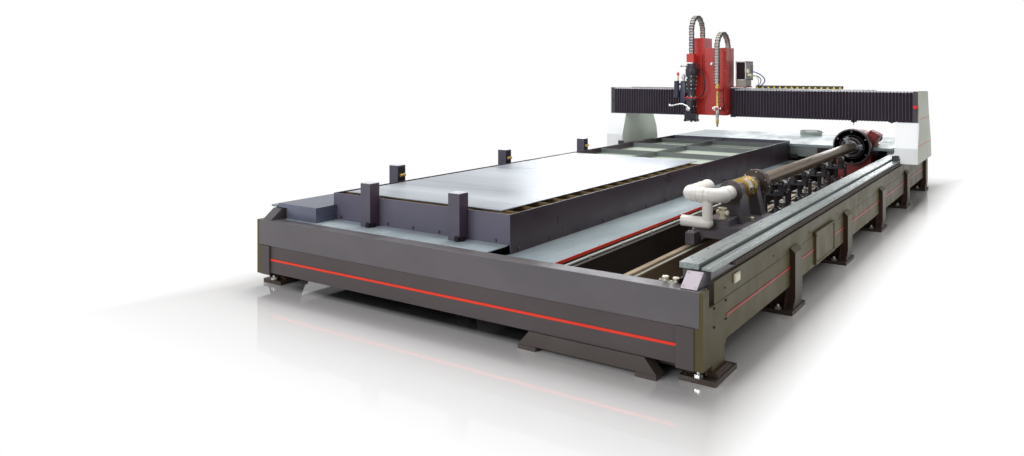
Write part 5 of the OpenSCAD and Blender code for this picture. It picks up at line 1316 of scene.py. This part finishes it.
for i, (dx, z) in enumerate(((0.0, 1.340), (0.014, 1.300))):
    route = [gas + Vector(step) for step in (
        (0.018, 0, z), (0.050 + dx, 0.010, z - 0.010), (0.072 + dx, 0.050, z - 0.060),
        (0.060 + dx, 0.110, z - 0.110), (0.036 + dx, 0.150, z - 0.120))]
    lead(f"gas_hose_{i + 1}", route, 0.0045, hose_dark, "oxy_lift")

# Chain loops.
# Energy chains of dark side plates and bright cross bars, which stand in a loop over the columns
# with coloured cables inside. One end moves with the head, the other is fixed on the carriage.
link_side = paint("link_side", srgb(46, 44, 46), 0.4, 0.1)
link_bar = paint("link_bar", srgb(178, 178, 176), 0.3, 0.06)
cable_orange = paint("cable_orange", srgb(214, 132, 48), 0.38, 0.06, 0.0)
cable_blue = paint("cable_blue", srgb(52, 74, 140), 0.38, 0.06, 0.0)
cable_sand = paint("cable_sand", srgb(206, 194, 150), 0.38, 0.06, 0.0)


def chain_loop(name, near, far, far_z, cables):
    """A chain that climbs from near, turns over in a half circle and comes down at far, each an (x, y)."""
    low, high = corners(name)
    thick, wide, pitch = 0.042, 0.062, 0.038
    wall, overlap, bar = 0.0035, 0.0035, 0.004
    r = (far[1] - near[1]) / 2
    centre_z = high.z - r - thick / 2
    rise, arc, fall = centre_z - low.z, math.pi * r, centre_z - far_z
    total = rise + arc + fall

    def at(s, out=0.0, across=0.0):
        """The point at a distance along the chain, out from its middle line, and how far it has bent."""
        bend = min(max((s - rise) / arc, 0.0), 1.0) * math.pi
        reach = r + out
        if s < rise:
            z = low.z + s
        elif s > rise + arc:
            z = centre_z - (s - rise - arc)
        else:
            z = centre_z + reach * math.sin(bend)
        x = near[0] + (far[0] - near[0]) * bend / math.pi + across
        return Vector((x, near[1] + r - reach * math.cos(bend), z)), bend

    count = math.ceil(total / pitch)
    step = total / count
    plates, bars = bmesh.new(), bmesh.new()
    for i in range(count):
        middle, bend = at((i + 0.5) * step)
        turn = Matrix.Translation(middle) @ Matrix.Rotation(-bend, 4, "X")
        inset = 0.0 if i % 2 else wall
        length = step / 2 + (overlap if 0 < i < count - 1 else 0.0)
        for side in (-1, 1):
            x = sorted((side * (wide / 2 - inset), side * (wide / 2 - inset - wall)))
            block(plates, (x[0], -thick / 2, -length), (x[1], thick / 2, length), 0.003, turn)
            turned(plates, turn @ Vector((side * (wide / 2 - 0.0042), 0, step / 2)), (side, 0, 0),
                   [(0, 0.008), (0.0036, 0.008), (0.0042, 0.007)], 14)
        reach, half = wide / 2 - bar, step * 0.27
        for y in (-thick / 2, thick / 2 - bar):
            block(bars, (-reach, y, -half), (reach, y + bar, half), 0.0012, turn)
    parts = [finished(name + "_links", plates, link_side, None),
             finished(name + "_bars", bars, link_bar, None)]
    for k, (across, radius, colour) in enumerate(cables):
        route = [at(total * t / 24, 0.004 * math.sin(k * 2.0 + t), across)[0] for t in range(25)]
        strand = bmesh.new()
        hose(strand, route, radius, 10)
        parts.append(finished(f"{name}_cable_{k + 1}", strand, colour, None))
    for piece in parts:
        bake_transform(piece)
    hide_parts(name)


near, far = (head_x + 0.004, head_y), (head_x + 0.020, column_low.y + 0.180)
chain_loop("chain_loop_left", near, far, 2.143,
           [(-0.018, 0.0085, cable_blue), (0.0, 0.0090, cable_orange), (0.018, 0.0085, cable_blue)])
near, far = (gas.x - 0.004, head_y), (-0.264, column_low.y + 0.160)
chain_loop("chain_loop_right", near, far, 2.005,
           [(-0.016, 0.0080, cable_sand), (0.002, 0.0095, cable_sand), (0.019, 0.0070, cable_blue)])
